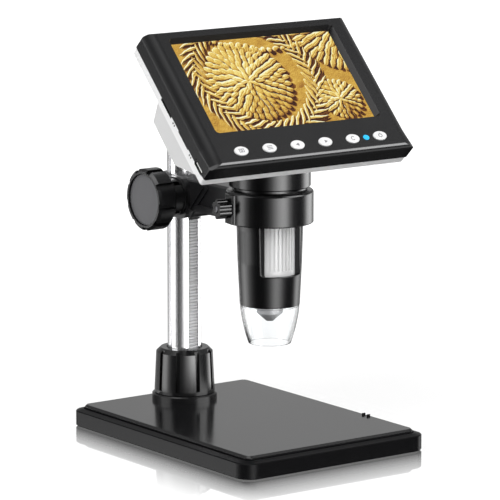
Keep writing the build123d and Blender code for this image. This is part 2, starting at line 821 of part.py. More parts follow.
def make_leds():
    leds = []
    for index in range(led_count):
        angle = 2 * pi * (index + 0.5) / led_count
        lamp = disc(led_radius, -1.2, 0)
        lamp = fillet(lamp.edges().group_by(Axis.Z)[0], led_radius * 0.7)
        leds.append(Pos(led_circle * cos(angle), ring_y + led_circle * sin(angle), led_board_bottom) * lamp)
    return Compound(children=leds)


def make_clear_hood():
    """Clear bell around the lens, open below, with a spigot in the barrel's mouth."""
    spigot = barrel_mouth - 0.07
    outer_points = [(radius, 0, barrel_bottom + rise) for radius, rise in hood_profile]
    inner_points = [(radius - hood_wall, 0, height) for radius, _, height in reversed(outer_points)]
    outer = Spline(*outer_points)
    inner = Spline(*inner_points)
    rim_radius, _, rim_height_above = outer_points[-1]
    rim_tip = (rim_radius - hood_wall / 2, 0, rim_height_above - hood_wall / 2)
    rim = ThreePointArc(outer_points[-1], rim_tip, inner_points[0])
    top = Line(inner_points[-1], outer @ 0)
    body = Pos(0, ring_y, 0) * revolve(make_face(Wire([outer, rim, inner, top])), Axis.Z)
    low = barrel_bottom - 0.9
    step = tube(inner_points[-1][0] + hood_wall / 2, spigot - hood_wall, low, barrel_bottom, 0, ring_y)
    return body + step + tube(spigot, spigot - hood_wall, low, led_board_bottom, 0, ring_y)


# ---------------------------------------------------------------- head
def roll_section(crest, u):
    """Section across the bezel, flat in the middle and rolled down to a crest at each side."""
    edge = head_width / 2
    inner = edge - crest_edge
    flat = edge - roll_width
    roll_x = edge - roll_width * 0.38
    roll_n = crest + (face_n - crest) * 0.72
    side = [(-edge, u, part_line), (-edge, u, crest - crest_edge), (-inner, u, crest)]
    outline = [Line(side[0], side[1]), Line(side[1], side[2]),
               ThreePointArc(side[2], (-roll_x, u, roll_n), (-flat, u, face_n)),
               Line((-flat, u, face_n), (flat, u, face_n)),
               ThreePointArc((flat, u, face_n), (roll_x, u, roll_n), (inner, u, crest)),
               Line((inner, u, crest), (edge, u, crest - crest_edge)),
               Line((edge, u, crest - crest_edge), (edge, u, part_line)),
               Line((edge, u, part_line), side[0])]
    return make_face(Wire(outline))


def make_bezel():
    bend = crest_low_reach - head_down
    rolled = extrude(roll_section(crest_n, bend), head_up - bend, dir=(0, 1, 0))
    rolled += loft([roll_section(crest_low_n, -head_down), roll_section(crest_n, bend)])
    low, high = low_round, high_round
    bulge = 1 - sqrt(0.5)
    along = [Line((0, -head_down, part_line), (0, -head_down, face_n - low)),
             ThreePointArc((0, -head_down, face_n - low), (0, -head_down + low * bulge, face_n - low * bulge),
                           (0, -head_down + low, face_n)),
             Line((0, -head_down + low, face_n), (0, head_up - high, face_n)),
             ThreePointArc((0, head_up - high, face_n), (0, head_up - high * bulge, face_n - high * bulge),
                           (0, head_up, face_n - high)),
             Line((0, head_up, face_n - high), (0, head_up, part_line)),
             Line((0, head_up, part_line), (0, -head_down, part_line))]
    rounded = extrude(make_face(Wire(along)), head_width, dir=(1, 0, 0))
    rounded = Pos(-head_width / 2, 0, 0) * rounded
    plan = Pos(0, (head_up - head_down) / 2, part_line) * extrude(
        RectangleRounded(head_width, head_up + head_down, head_corner), face_n - part_line)
    body = rolled & rounded & plan
    for half, top in ((panel_width / 2 + 0.6, 0), (head_width / 2 - head_wall, crest_n)):
        body -= slab_u(-head_down + head_wall, head_up - head_wall, part_line - 1, top, -half, half)
    mouth = RectangleRounded(screen_width + 2 * screen_bevel, screen_height + 2 * screen_bevel, screen_corner)
    body -= loft([RectangleRounded(screen_width, screen_height, 0.2), Pos(0, 0, face_n) * mouth])
    for x in button_xs:
        body -= oval(button_width + 0.3, button_height + 0.3, -1, face_n + 1, x, button_row_u)
    body -= oval(led_mark_width + 0.2, led_mark_height + 0.2, -1, face_n + 1, led_mark_x, button_row_u)
    body -= usb_block(0.1)
    for x, u in case_screw_places():
        body += tube(case_boss_radius, case_screw_radius + slip, part_line, crest_n, x, u)
    return head_place * body


def case_screw_places():
    """Screws that join the two halves of the case, in the strips beside the display."""
    x = head_width / 2 - head_wall - case_boss_radius - 0.1
    return [(-x, head_up - 8), (x, head_up - 8), (-x, case_screw_low_u),
            (x, case_screw_low_u)]


def usb_block(clearance):
    return slab_u(usb_u - usb_width / 2 - clearance, usb_u + usb_width / 2 + clearance,
                  usb_n - usb_height / 2 - clearance, usb_n + usb_height / 2 + clearance,
                  -head_width / 2 - 1 - clearance, -head_width / 2 + 9)


def make_display_panel():
    half = panel_width / 2
    return head_place * slab_u(panel_bottom, panel_top, -panel_thickness, 0, -half, half)


def make_backlight():
    half = panel_width / 2
    return head_place * slab_u(panel_bottom, panel_top, tray_back, -panel_thickness, -half, half)


def make_main_board():
    left = -head_width / 2 + head_wall + 0.6
    right = head_width / 2 - main_board_inset
    body = slab_u(-main_board_reach, main_board_reach, main_board_back, tray_back, left, right)
    parts = ((-10, 4, 14, 14, 1.3), (14, 8, 10, 12, 1.1), (30, -8, 8, 6, 1.6), (-30, -14, 9, 7, 1.2))
    for x, u, width, height, rise in parts:
        body += slab_u(u - height / 2, u + height / 2, main_board_back - rise, main_board_back,
                       x - width / 2, x + width / 2)
    x, u = case_screw_places()[0]
    return head_place * (body - disc(case_boss_radius + 0.3, main_board_back - 3, 0, x, u))


def make_button_board():
    left = -head_width / 2 + head_wall + 0.6
    right = head_width / 2 - button_board_inset
    body = slab_u(button_row_u - button_board_down, button_row_u + button_board_up, button_board_back,
                  button_board_front, left, right)
    return head_place * (body - usb_block(0.1))


def make_key_switches():
    switches = []
    top = -button_flange - button_gap - button_travel - 0.05
    for x in button_xs:
        body = slab_u(button_row_u - key_size / 2, button_row_u + key_size / 2, button_board_front, top - 0.5,
                      x - key_size / 2, x + key_size / 2)
        body += oval(key_plunger, key_plunger, top - 0.6, top, x, button_row_u)
        switches.append(head_place * body)
    return Compound(children=switches)


def make_button(x):
    """Oval key with a wider foot that keeps it behind the face."""
    cap = oval(button_width, button_height, -button_flange, face_n + button_proud, x, button_row_u)
    cap = fillet(cap.edges().group_by(Axis.Z)[-1], 0.4)
    foot = oval(button_width + 2 * button_foot, button_height + 2 * button_foot,
                -button_flange - button_gap, -button_gap, x, button_row_u)
    return head_place * (cap + foot)


def make_indicator():
    body = oval(led_mark_width, led_mark_height, button_board_front, face_n + 0.15, led_mark_x, button_row_u)
    return head_place * body


def make_usb_port():
    """Socket shell with a rounded mouth and a flat tongue, on the left wall."""
    mouth = -head_width / 2
    shell = extrude(Pos(usb_u, usb_n) * RectangleRounded(usb_width, usb_height, 1.2), 8.5)
    hollow = extrude(Pos(usb_u, usb_n) * RectangleRounded(usb_width - 0.9, usb_height - 0.9, 0.8), 6.5)
    tongue = extrude(Pos(usb_u, usb_n) * Rectangle(usb_width - 2.4, 0.7), 7.0)
    body = shell - hollow + Pos(0, 0, 0.6) * tongue
    turned = Plane(origin=(mouth, 0, 0), x_dir=(0, 1, 0), z_dir=(1, 0, 0))
    return head_place * (turned.location * body)


def make_side_socket(u, width, height, mouth):
    """Flat socket behind the part line, soldered under the main board."""
    edge = -head_width / 2 + flange_inset
    end = edge + socket_length
    body = slab_u(u - width / 2, u + width / 2, part_line - height, part_line, edge, end)
    body += slab_u(u - width / 2, u + width / 2, part_line, main_board_back, edge + 2.4, end)
    body -= slab_u(u - width / 2 + 0.6, u + width / 2 - 0.6, part_line - height + 0.35, part_line - 0.35,
                   edge - 1, edge + mouth)
    return head_place * body


def make_battery():
    width, height, thickness = battery_size
    back = box_points()[1][1] + box_wall + slip
    body = slab_u(battery_top_u - height, battery_top_u, back, back + thickness, -width / 2, width / 2)
    return head_place * fillet(body.edges().filter_by(Axis.X), 1.5)


def box_points():
    return [(u, flange_back + rise) for u, rise in box_profile]


def inset_profile(points, wall):
    """The bulge's inside outline, one wall in from its outside on the free sides."""
    (top_u, rim), (back_u, back_n), (low_u, low_n), (under_u, under_n), (end_u, _) = points
    return ((top_u - wall, rim + wall + 1), (top_u - wall, rim), (back_u - wall, back_n + wall),
            (low_u + wall * 0.6, low_n + wall), (under_u + wall, under_n + wall * 0.9),
            (end_u + wall * 2, rim + 0.2), (end_u + wall * 2, rim + wall + 1))


def make_rear_housing():
    middle = (flange_up - flange_down) / 2
    flange = Pos(0, middle, flange_back) * extrude(
        RectangleRounded(flange_width, flange_up + flange_down, head_corner), part_line - flange_back)
    flange = fillet(flange.edges().group_by(Axis.Z)[0], 0.8)
    outer_x = flange_width / 2
    top_u, end_u = box_profile[0][0], box_profile[-1][0]
    bulge = side_prism([(top_u, flange_back + 1)] + list(box_points()) + [(end_u, flange_back + 1)],
                       -outer_x, outer_x)
    behind = slab_u(-far, far, -far, flange_back + 0.5, -far, far)
    pod = disc(pod_radius, neck_top, pod_top, 0, ring_y)
    pod = fillet(pod.edges().group_by(Axis.Z)[-1], pod_round)
    pod = head_place.inverse() * pod
    body = flange + bulge + (pod & behind)
    body -= slab_u(-flange_down + head_wall, flange_up - head_wall, flange_back + head_wall, part_line + 1,
                   -outer_x + head_wall, outer_x - head_wall)
    body -= side_prism(inset_profile(box_points(), box_wall), -outer_x + head_wall, outer_x - head_wall)
    pod_hollow = disc(pod_radius - pod_wall, neck_top + pod_floor, pod_top - pod_wall, 0, ring_y)
    pod_hollow = fillet(pod_hollow.edges().group_by(Axis.Z)[-1], pod_round - pod_wall)
    outside_box = slab_u(-far, far, -far, box_points()[2][1] - 0.1, -far, far)
    body -= (head_place.inverse() * pod_hollow) & outside_box
    body -= head_place.inverse() * disc(cable_hole_radius, neck_top - 1, neck_top + 14, 0, ring_y)
    body -= usb_block(0.1)
    body -= slab_u(card_slot_u - card_slot_width / 2 - slip, card_slot_u + card_slot_width / 2 + slip,
                   part_line - card_slot_height - slip, part_line + 1, -outer_x - 1, -outer_x + 4)
    body -= slab_u(side_port_u - side_port_width / 2 - slip, side_port_u + side_port_width / 2 + slip,
                   part_line - side_port_height - slip, part_line + 1, -outer_x - 1, -outer_x + 4)
    for x, u in case_screw_places():
        body += tube(case_boss_radius, case_screw_radius + 0.1, flange_back + 0.5, part_line, x, u)
        body -= disc(case_screw_head + 0.1, flange_back - 1, flange_back + case_screw_seat, x, u)
        body -= disc(case_screw_radius + 0.1, flange_back - 1, part_line + 1, x, u)
    for x, u in board_post_places():
        body += disc(1.8, flange_back + 1, main_board_back, x, u)
    for place in neck_screw_places():
        hole = disc(neck_screw_shaft + 0.1, -1, pod_floor + 0.6)
        hole += disc(neck_screw_head + 0.25, pod_floor, pod_floor + neck_screw_head_height + 1)
        body -= head_place.inverse() * (place * hole)
    return head_place * body


def board_post_places():
    return [(x, u) for x in (-38.0, 38.0) for u in (10.0, 22.0)]


def make_case_screws():
    screws = []
    for x, u in case_screw_places():
        seat = flange_back + case_screw_seat
        shape = disc(case_screw_radius, seat, crest_n - free, x, u)
        shape += disc(case_screw_head, seat - 1.1, seat, x, u)
        screws.append(head_place * shape)
    return Compound(children=screws)


def make_neck_screws():
    screws = []
    for place in neck_screw_places():
        shape = disc(neck_screw_shaft, barrel_top - neck_top + 0.2, pod_floor)
        shape += disc(neck_screw_head, pod_floor, pod_floor + neck_screw_head_height)
        screws.append(place * shape)
    return Compound(children=screws)


# ---------------------------------------------------------------- the parts, one file each
parts = {
    "base_shell": make_base_shell(),
    "base_cover": make_base_cover(),
    "base_weight": make_base_weight(),
    "base_screws": make_base_screws(),
    "column_socket": make_column_socket(),
    "socket_screws": make_socket_screws(),
    "column": make_column(),
    "column_cap": make_column_cap(),
    "rack": make_rack(),
    "lock_nut": make_lock_nut(),
    "carriage_arm": make_carriage(),
    "friction_pad": make_friction_pad(),
    "tension_screw": make_tension_screw(),
    "pinion_cover": make_pinion_cover(),
    "cover_screws": make_cover_screws(),
    "pinion_shaft": make_pinion_shaft(),
    "height_knob": make_knob(),
    "knob_disc": make_knob_cap(),
    "grip_screw": make_grip_screw(),
    "grip_knob": make_grip_knob(),
    "neck": make_neck(),
    "neck_screws": make_neck_screws(),
    "barrel": make_barrel(),
    "sensor_holder": make_sensor_holder(),
    "sensor_board": make_sensor_board(),
    "image_sensor": make_image_sensor(),
    "focus_wheel": make_focus_wheel(),
    "lens_carrier": make_lens_carrier(),
    "lens_cone": make_lens_cone(),
    "front_lens": make_lens(carrier_bore - 0.7, cone_shoulder + 2.0, 2.6, 0.6),
    "rear_lens": make_lens(carrier_bore - slip, rear_lens_height, 3.0, 0.7),
    "led_board": make_led_board(),
    "ring_leds": make_leds(),
    "clear_hood": make_clear_hood(),
    "front_bezel": make_bezel(),
    "display_panel": make_display_panel(),
    "backlight": make_backlight(),
    "main_board": make_main_board(),
    "button_board": make_button_board(),
    "key_switches": make_key_switches(),
    "indicator_lamp": make_indicator(),
    "usb_port": make_usb_port(),
    "card_socket": make_side_socket(card_slot_u, card_slot_width, card_slot_height, card_slot_depth),
    "side_socket": make_side_socket(side_port_u, side_port_width, side_port_height, side_port_depth),
    "battery": make_battery(),
    "rear_housing": make_rear_housing(),
    "case_screws": make_case_screws(),
}
for index, (x, y) in enumerate(foot_places(), start=1):
    parts[f"rubber_foot_{index}"] = make_foot(x, y)
for index, x in enumerate(button_xs, start=1):
    parts[f"button_{index}"] = make_button(x)

os.makedirs("parts", exist_ok=True)
for name, shape in parts.items():
    export_step(shape, f"parts/{name}.step")
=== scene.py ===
from math import atan2, cos, pi, radians, sin

import bmesh
import bpy
from bpy.props import FloatProperty, FloatVectorProperty, PointerProperty
from bpy.types import Operator, Panel, PropertyGroup
from mathutils import Matrix, Vector


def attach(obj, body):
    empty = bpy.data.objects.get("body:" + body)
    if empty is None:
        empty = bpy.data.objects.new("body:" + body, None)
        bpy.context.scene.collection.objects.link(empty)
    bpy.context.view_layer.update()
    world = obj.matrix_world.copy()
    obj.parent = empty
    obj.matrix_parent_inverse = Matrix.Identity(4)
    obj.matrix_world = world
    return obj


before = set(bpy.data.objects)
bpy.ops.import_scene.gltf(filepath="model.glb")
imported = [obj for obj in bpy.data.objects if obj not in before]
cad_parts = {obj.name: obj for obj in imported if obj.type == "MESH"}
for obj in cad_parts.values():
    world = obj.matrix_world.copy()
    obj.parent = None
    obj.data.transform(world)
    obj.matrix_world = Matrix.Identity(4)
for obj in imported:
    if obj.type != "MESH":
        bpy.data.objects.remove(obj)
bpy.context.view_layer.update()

bl_info = {
    "name": "Screen Microscope",
    "version": (1, 0, 0),
    "blender": (4, 5, 0),
    "location": "View3D > Sidebar > Microscope",
    "description": "Dresses a rack-and-pinion microscope with a tilted screen",
    "category": "Add Mesh",
}

MM = 0.001

# Places and sizes on the CAD nodes, in millimetres.
# The head's own directions: x across the screen, y up its slope, z out of its face.
HEAD = Matrix.Translation((0, -21.7, 180.1)) @ Matrix.Rotation(radians(45.7), 4, "X")
SCREEN_WIDTH = 95.04
SCREEN_HEIGHT = 53.86
BUTTON_FACE = 3.6
BUTTON_ROW = -40.1
BUTTON_XS = [-40.75 + 16.55 * index for index in range(6)]
TONGUE_PLACE = (-59.25, -40.4, -6.3)
PIN_X = -60.4
PIN_ROWS = (-12.4, -13.9, -31.4, -32.9)
PIN_DEPTH = -8.6
PLATE_HALF = (55.0, 75.0)
SLAB_TOP = 10.9
RIB_X = 48.3
RIB_ROWS = (-32.4, -36.2)
RING_Y = -19.4
# The barrel's outside: height and radius. The window's sides: height and half angle from its middle.
BARREL_SIDE = ((70.7, 14.67), (92.0, 15.75), (108.0, 16.2), (112.4, 16.35))
WINDOW_SIDE = ((86.2, 44.25), (112.5, 45.5))
WINDOW_TOP = 112.3
WINDOW_MIDDLE = 261.5
WINDOW_CORNER = 1.5

# Limits between two finishes of one CAD node, in millimetres. The first three are radii from the barrel's
# axis, the next three are heights, and the rest are distances along the head's own directions.
RING_OUTSIDE = 22.45
WHEEL_GROOVES = 12.7
CHEEK_OUTSIDE = 15.3
WINDOW_FLOOR = 86.0
RIM_TOP = 8.15
SLAB_FOOT = 9.85
FLANGE_BACK = -11.9
RECESS_HALF = (49.15, 28.55)
RECESS_MOUTH = 2.94
BEZEL_SIDE = 60.725
ROLL_START = 57.0
ROLL_END = 60.425
FRONT_EDGE_Y = -45.5
FRONT_EDGE_Z = -0.1


# ---------------- node trees
class Recipe:
    """A node tree that grows node by node, with sums written as calls."""

    def __init__(self, tree):
        self.tree = tree

    def put(self, kind, **settings):
        node = self.tree.nodes.new(kind)
        for name, value in settings.items():
            setattr(node, name, value)
        return node

    def feed(self, socket, value):
        if isinstance(value, bpy.types.NodeSocket):
            self.tree.links.new(value, socket)
        else:
            socket.default_value = value

    def fill(self, node, values):
        for name, value in values.items():
            self.feed(node.inputs[name], value)

    def math(self, operation, *values, clamp=False):
        node = self.put("ShaderNodeMath", operation=operation, use_clamp=clamp)
        for socket, value in zip(node.inputs, values):
            self.feed(socket, value)
        return node.outputs[0]

    def times(self, first, second):
        return self.math("MULTIPLY", first, second)

    def plus(self, first, second):
        return self.math("ADD", first, second)

    def minus(self, first, second):
        return self.math("SUBTRACT", first, second)

    def larger(self, first, second):
        return self.math("MAXIMUM", first, second)

    def vector(self, operation, *values):
        node = self.put("ShaderNodeVectorMath", operation=operation)
        for socket, value in zip(node.inputs, values):
            self.feed(socket, value)
        return node.outputs["Value" if operation in ("LENGTH", "DOT_PRODUCT") else "Vector"]

    def parts(self, vector):
        """The x, y and z of a vector."""
        node = self.put("ShaderNodeSeparateXYZ")
        self.feed(node.inputs[0], vector)
        return node.outputs

    def noise(self, where, scale, detail=2.0, roughness=0.5, output="Fac"):
        node = self.put("ShaderNodeTexNoise")
        self.fill(node, {"Vector": where, "Scale": scale, "Detail": detail, "Roughness": roughness})
        return node.outputs[output]

    def spread(self, value, low, high, to_low=0.0, to_high=1.0):
        node = self.put("ShaderNodeMapRange")
        self.fill(node, {"Value": value, "From Min": low, "From Max": high,
                         "To Min": to_low, "To Max": to_high})
        return node.outputs["Result"]

    def mix(self, factor, first, second):
        node = self.put("ShaderNodeMix", data_type="RGBA")
        self.fill(node, {"Factor": factor, 6: first, 7: second})
        return node.outputs[2]

    def ramp(self, factor, stops, interpolation="LINEAR"):
        node = self.put("ShaderNodeValToRGB")
        node.color_ramp.interpolation = interpolation
        elements = node.color_ramp.elements
        while len(elements) > 1:
            elements.remove(elements[-1])
        elements[0].position, elements[0].color = stops[0][0], solid(stops[0][1])
        for position, colour in stops[1:]:
            elements.new(position).color = solid(colour)
        self.feed(node.inputs["Fac"], factor)
        return node.outputs["Color"]

    def bump(self, height, depth):
        node = self.put("ShaderNodeBump")
        self.fill(node, {"Strength": 1.0, "Distance": depth * MM, "Height": height})
        return node.outputs["Normal"]

    def blend(self, factor, first, second):
        """Two shaders mixed by a factor."""
        node = self.put("ShaderNodeMixShader")
        self.fill(node, {0: factor, 1: first, 2: second})
        return node.outputs[0]

    def own(self, kind):
        """The node of a kind that a new tree starts with."""
        return next(node for node in self.tree.nodes if node.type == kind)


def solid(colour):
    """A colour with full opacity; a single number is a grey."""
    if isinstance(colour, (int, float)):
        return (colour, colour, colour, 1.0)
    return (*colour[:3], 1.0)


def shade(colour, factor):
    """The colour made darker or lighter."""
    return tuple(min(1.0, channel * factor) for channel in colour[:3])


def new_finish(name):
    """An empty material with one Principled shader, as (material, recipe, shader)."""
    material = bpy.data.materials.new(name)
    material.use_nodes = True
    recipe = Recipe(material.node_tree)
    return material, recipe, recipe.own("BSDF_PRINCIPLED")


def object_place(recipe):
    return recipe.put("ShaderNodeTexCoord").outputs["Object"]


def axis_distance(recipe, place):
    """How far a place is from the barrel's upright axis."""
    from_ring = recipe.vector("ADD", place, (0.0, -RING_Y * MM, 0.0))
    return recipe.vector("LENGTH", recipe.vector("MULTIPLY", from_ring, (1.0, 1.0, 0.0)))


def along_head(recipe, place, axis):
    """How far a place is along one of the head's own directions."""
    from_middle = recipe.vector("SUBTRACT", place, tuple(HEAD.translation * MM))
    return recipe.vector("DOT_PRODUCT", from_middle, tuple(HEAD.to_3x3().col[axis]))


def off_middle(recipe, place, axis):
    """How far a place is from the head's middle along one of its directions, to either side."""
    return recipe.math("ABSOLUTE", along_head(recipe, place, axis))


def height_of(recipe, place):
    return recipe.parts(place)[2]


def past(recipe, value, limit, blend):
    """1 where a length is past a limit and 0 before it. The limit and its blend are in millimetres."""
    return recipe.spread(value, (limit - blend / 2) * MM, (limit + blend / 2) * MM)


def within(recipe, value, limit, blend):
    """1 where a length is within a limit and 0 past it."""
    return recipe.spread(value, (limit - blend / 2) * MM, (limit + blend / 2) * MM, 1.0, 0.0)


def in_the_ring(recipe, place):
    """1 on the ring that holds the barrel, 0 on the arm behind it."""
    return within(recipe, axis_distance(recipe, place), RING_OUTSIDE, 0.2)


def painted_shade_in_the_grooves(recipe, place):
    """1 on the bottoms of the focus wheel's grooves, which take a faint painted shade, 0 on its ribs."""
    return within(recipe, axis_distance(recipe, place), WHEEL_GROOVES, 0.4)


def painted_shade_in_the_window(recipe, place):
    """1 on the cheeks of the barrel's window, which take a painted shade, 0 on the barrel's outside."""
    inner = within(recipe, axis_distance(recipe, place), CHEEK_OUTSIDE, 0.1)
    return recipe.times(inner, past(recipe, height_of(recipe, place), WINDOW_FLOOR, 0.2))


def on_the_rim(recipe, place):
    """1 on the upright sides of the base plate, 0 above them."""
    return within(recipe, height_of(recipe, place), RIM_TOP, 0.1)


def below_the_slab(recipe, place):
    """1 on the slope and the groove round the base's raised slab, 0 on its edge and its top."""
    return within(recipe, height_of(recipe, place), SLAB_FOOT, 0.1)


def painted_shade_on_the_bulge(recipe, place):
    """1 on the bulge of the rear housing, which takes a painted shade, 0 on its flange."""
    return within(recipe, along_head(recipe, place, 2), FLANGE_BACK, 0.4)


def painted_light_in_the_recess(recipe, place):
    """1 on the sloped walls of the recess round the screen, which take a painted light, 0 on the rest of the
    bezel.
    """
    inside = within(recipe, along_head(recipe, place, 2), RECESS_MOUTH, 0.08)
    for axis, half in enumerate(RECESS_HALF):
        inside = recipe.times(inside, within(recipe, off_middle(recipe, place, axis), half, 0.1))
    return inside


def on_the_side_walls(recipe, place):
    """1 on the upright left and right sides of the bezel."""
    return past(recipe, off_middle(recipe, place, 0), BEZEL_SIDE, 0.05)


def low_on_the_roll(recipe, place):
    """1 on the steep outer part of the bezel's rolled sides, fading to 0 toward the flat face."""
    across = off_middle(recipe, place, 0)
    return recipe.times(past(recipe, across, ROLL_START, 3.0), within(recipe, across, ROLL_END, 0.05))


def on_the_front_edge(recipe, place):
    """1 on the round of the bezel's lower front edge."""
    near = within(recipe, along_head(recipe, place, 1), FRONT_EDGE_Y, 0.6)
    return recipe.times(near, past(recipe, along_head(recipe, place, 2), FRONT_EDGE_Z, 0.6))


SHEEN_DRIFT = 0.05


def moulding(name, colour, roughness, grain=0.35, depth=0.006, mottle=0.12, level=0.5, zones=()):
    """Moulded plastic: a fine grain in its face, and a sheen that varies a little from place to place.

    Each zone is a function of a place, with the colour, roughness and level of gloss inside it.
    """
    material, recipe, shader = new_finish(name)
    place = object_place(recipe)
    fine = recipe.noise(place, 1 / (grain * MM), 3.0, 0.6)
    broad = recipe.noise(place, 38.0, 3.0, 0.55)
    tone = recipe.mix(recipe.spread(broad, 0.3, 0.7), solid(shade(colour, 1 - mottle)),
                      solid(shade(colour, 1 + mottle)))
    sheen = recipe.plus(recipe.times(broad, SHEEN_DRIFT), recipe.times(fine, SHEEN_DRIFT / 2))
    sheen = recipe.plus(sheen, roughness - 0.75 * SHEEN_DRIFT)
    for zone, zone_colour, zone_roughness, zone_level in zones:
        inside = zone(recipe, place)
        tone = recipe.mix(inside, tone, solid(zone_colour))
        sheen = recipe.spread(inside, 0.0, 1.0, sheen, zone_roughness)
        level = recipe.spread(inside, 0.0, 1.0, level, zone_level)
    recipe.fill(shader, {"Base Color": tone, "Roughness": sheen, "Specular IOR Level": level,
                         "Normal": recipe.bump(fine, depth)})
    return material


# The pitch of a lathe's marks, in millimetres, and how many times longer than that they are.
MARK_PITCH = 0.18
MARK_LENGTH = 60.0


def turned_metal(name, colour, roughness, along="Z", metallic=1.0):
    """Metal with the fine marks of a lathe or mill across one direction."""
    material, recipe, shader = new_finish(name)
    place = object_place(recipe)
    squash = {"X": (MARK_LENGTH, 1.0, 1.0), "Z": (1.0, 1.0, MARK_LENGTH)}[along]
    marks = recipe.noise(recipe.vector("MULTIPLY", place, squash), 1 / (MARK_PITCH * MM * MARK_LENGTH))
    broad = recipe.noise(place, 60.0)
    recipe.fill(shader, {
        "Base Color": recipe.mix(marks, solid(shade(colour, 0.93)), solid(shade(colour, 1.05))),
        "Metallic": metallic,
        "Roughness": recipe.plus(recipe.times(recipe.plus(marks, broad), 0.06), roughness - 0.06),
        "Normal": recipe.bump(marks, 0.0015)})
    return material


def drawn_metal(name, colour, roughness):
    """Drawn bright metal: faint streaks that run up the column."""
    material, recipe, shader = new_finish(name)
    place = object_place(recipe)
    streaks = recipe.noise(recipe.vector("MULTIPLY", place, (1.0, 1.0, 0.004)), 1 / (0.7 * MM), 2.0, 0.6)
    lines = recipe.spread(streaks, 0.4, 0.6)
    recipe.fill(shader, {
        "Base Color": recipe.mix(lines, solid(shade(colour, 0.8)), solid(shade(colour, 1.1))),
        "Metallic": 0.9,
        "Roughness": recipe.spread(streaks, 0.3, 0.7, roughness, roughness + 0.06),
        "Normal": recipe.bump(streaks, 0.012)})
    return material


def clear_finish(name, tint, index, edge=1.0):
    """Clear plastic or glass that lets the lamps through.

    An edge of less than 1 darkens and dulls a wall where it is seen edge on.
    """
    material, recipe, shader = new_finish(name)
    place = object_place(recipe)
    slope = recipe.put("ShaderNodeLayerWeight").outputs["Facing"]
    recipe.fill(shader, {
        "Base Color": recipe.mix(recipe.spread(slope, 0.45, 0.8), solid(tint), solid(shade(tint, edge))),
        "Transmission Weight": recipe.spread(slope, 0.8, 0.95, 1.0, 0.1 + 0.9 * edge),
        "Specular IOR Level": recipe.spread(slope, 0.6, 0.85, 0.5, 0.5 * edge),
        "IOR": index,
        "Roughness": recipe.spread(recipe.noise(place, 90.0), 0.3, 0.7, 0.0, 0.02),
        "Normal": recipe.bump(recipe.noise(place, 140.0, 1.0), 0.01)})
    through = recipe.put("ShaderNodeBsdfTransparent")
    recipe.fill(through, {"Color": solid(shade(tint, 0.96))})
    in_shadow = recipe.put("ShaderNodeLightPath").outputs["Is Shadow Ray"]
    recipe.feed(recipe.own("OUTPUT_MATERIAL").inputs["Surface"],
                recipe.blend(in_shadow, shader.outputs[0], through.outputs[0]))
    return material


def speckled(name, scale, first, second, roughness, glow=0.0):
    """A small bright part whose colour wanders between two tones, and that may shine by itself."""
    material, recipe, shader = new_finish(name)
    tone = recipe.mix(recipe.noise(object_place(recipe), scale), solid(first), solid(second))
    recipe.fill(shader, {"Base Color": tone, "Roughness": roughness, "Emission Color": tone,
                         "Emission Strength": glow})
    return material


# ---------------- the golden relief on the screen
def group_tree(name, inputs, outputs):
    """A new node group and its two ends, as (recipe, inputs by name, the output node)."""
    tree = bpy.data.node_groups.new(name, "ShaderNodeTree")
    for title, kind in inputs:
        tree.interface.new_socket(title, in_out="INPUT", socket_type=kind)
    for title, kind in outputs:
        tree.interface.new_socket(title, in_out="OUTPUT", socket_type=kind)
    recipe = Recipe(tree)
    start = recipe.put("NodeGroupInput")
    end = recipe.put("NodeGroupOutput")
    return recipe, start.outputs, end


def leaf_ring_group():
    """Height of a ring of leaves: domed ovals with a midrib, laid round a centre, sloped by the tilt."""
    numbers = ("Centre X", "Centre Y", "Radius", "Half Length", "Half Width", "Count", "Tilt", "Turn",
               "Taper", "Base")
    recipe, given, end = group_tree("leaf_ring", [("Place", "NodeSocketVector")]
                                    + [(title, "NodeSocketFloat") for title in numbers],
                                    [("Height", "NodeSocketFloat")])
    place_x, place_y, _ = recipe.parts(given["Place"])
    x = recipe.minus(place_x, given["Centre X"])
    y = recipe.minus(place_y, given["Centre Y"])
    far = recipe.math("SQRT", recipe.plus(recipe.times(x, x), recipe.times(y, y)))
    angle = recipe.math("ARCTAN2", y, x)
    along = recipe.math("DIVIDE", recipe.minus(far, given["Radius"]), given["Half Length"])
    turns = recipe.math("DIVIDE", recipe.times(angle, given["Count"]), 2 * pi)
    turns = recipe.plus(turns, given["Turn"])
    turns = recipe.plus(turns, recipe.times(along, given["Tilt"]))
    across = recipe.minus(turns, recipe.math("ROUND", turns))
    arc = recipe.math("DIVIDE", recipe.times(far, 2 * pi), given["Count"])
    width = recipe.times(given["Half Width"], recipe.minus(1.0, recipe.times(along, given["Taper"])))
    side = recipe.math("DIVIDE", recipe.times(across, arc), recipe.larger(width, 0.05))
    room = recipe.minus(1.0, recipe.plus(recipe.times(along, along), recipe.times(side, side)))
    dome = recipe.math("SQRT", recipe.larger(room, 0.0))
    rib = recipe.larger(0.0, recipe.minus(1.0, recipe.times(recipe.math("ABSOLUTE", side), 5.0)))
    dome = recipe.minus(dome, recipe.times(rib, 0.16))
    there = recipe.math("GREATER_THAN", room, 0.0)
    height = recipe.times(there, recipe.plus(dome, given["Base"]))
    recipe.feed(end.inputs[0], height)
    return recipe.tree


def blossom(x, y, reach, layers, width):
    """Rings of petals that rise toward the middle of a flower."""
    rings = []
    for layer in range(layers):
        radius = reach * (layers - layer - 0.35) / layers
        count = max(5, round(2 * pi * radius / (2 * width)))
        half_width = pi * radius / count * 0.98
        rings.append((x, y, radius, 0.62 * reach / layers + 1.2, half_width, count, 0.0, layer * 0.5, -0.2,
                      0.1 + 0.38 * layer))
    return rings


def garland(x, y, radius, width, lean):
    """One ring of slim leaves that lean along the ring."""
    count = round(2 * pi * radius / (3.2 * width))
    return (x, y, radius, 2.9 * width, width, count, lean, 0.2 * lean, 0.45, 0.1)


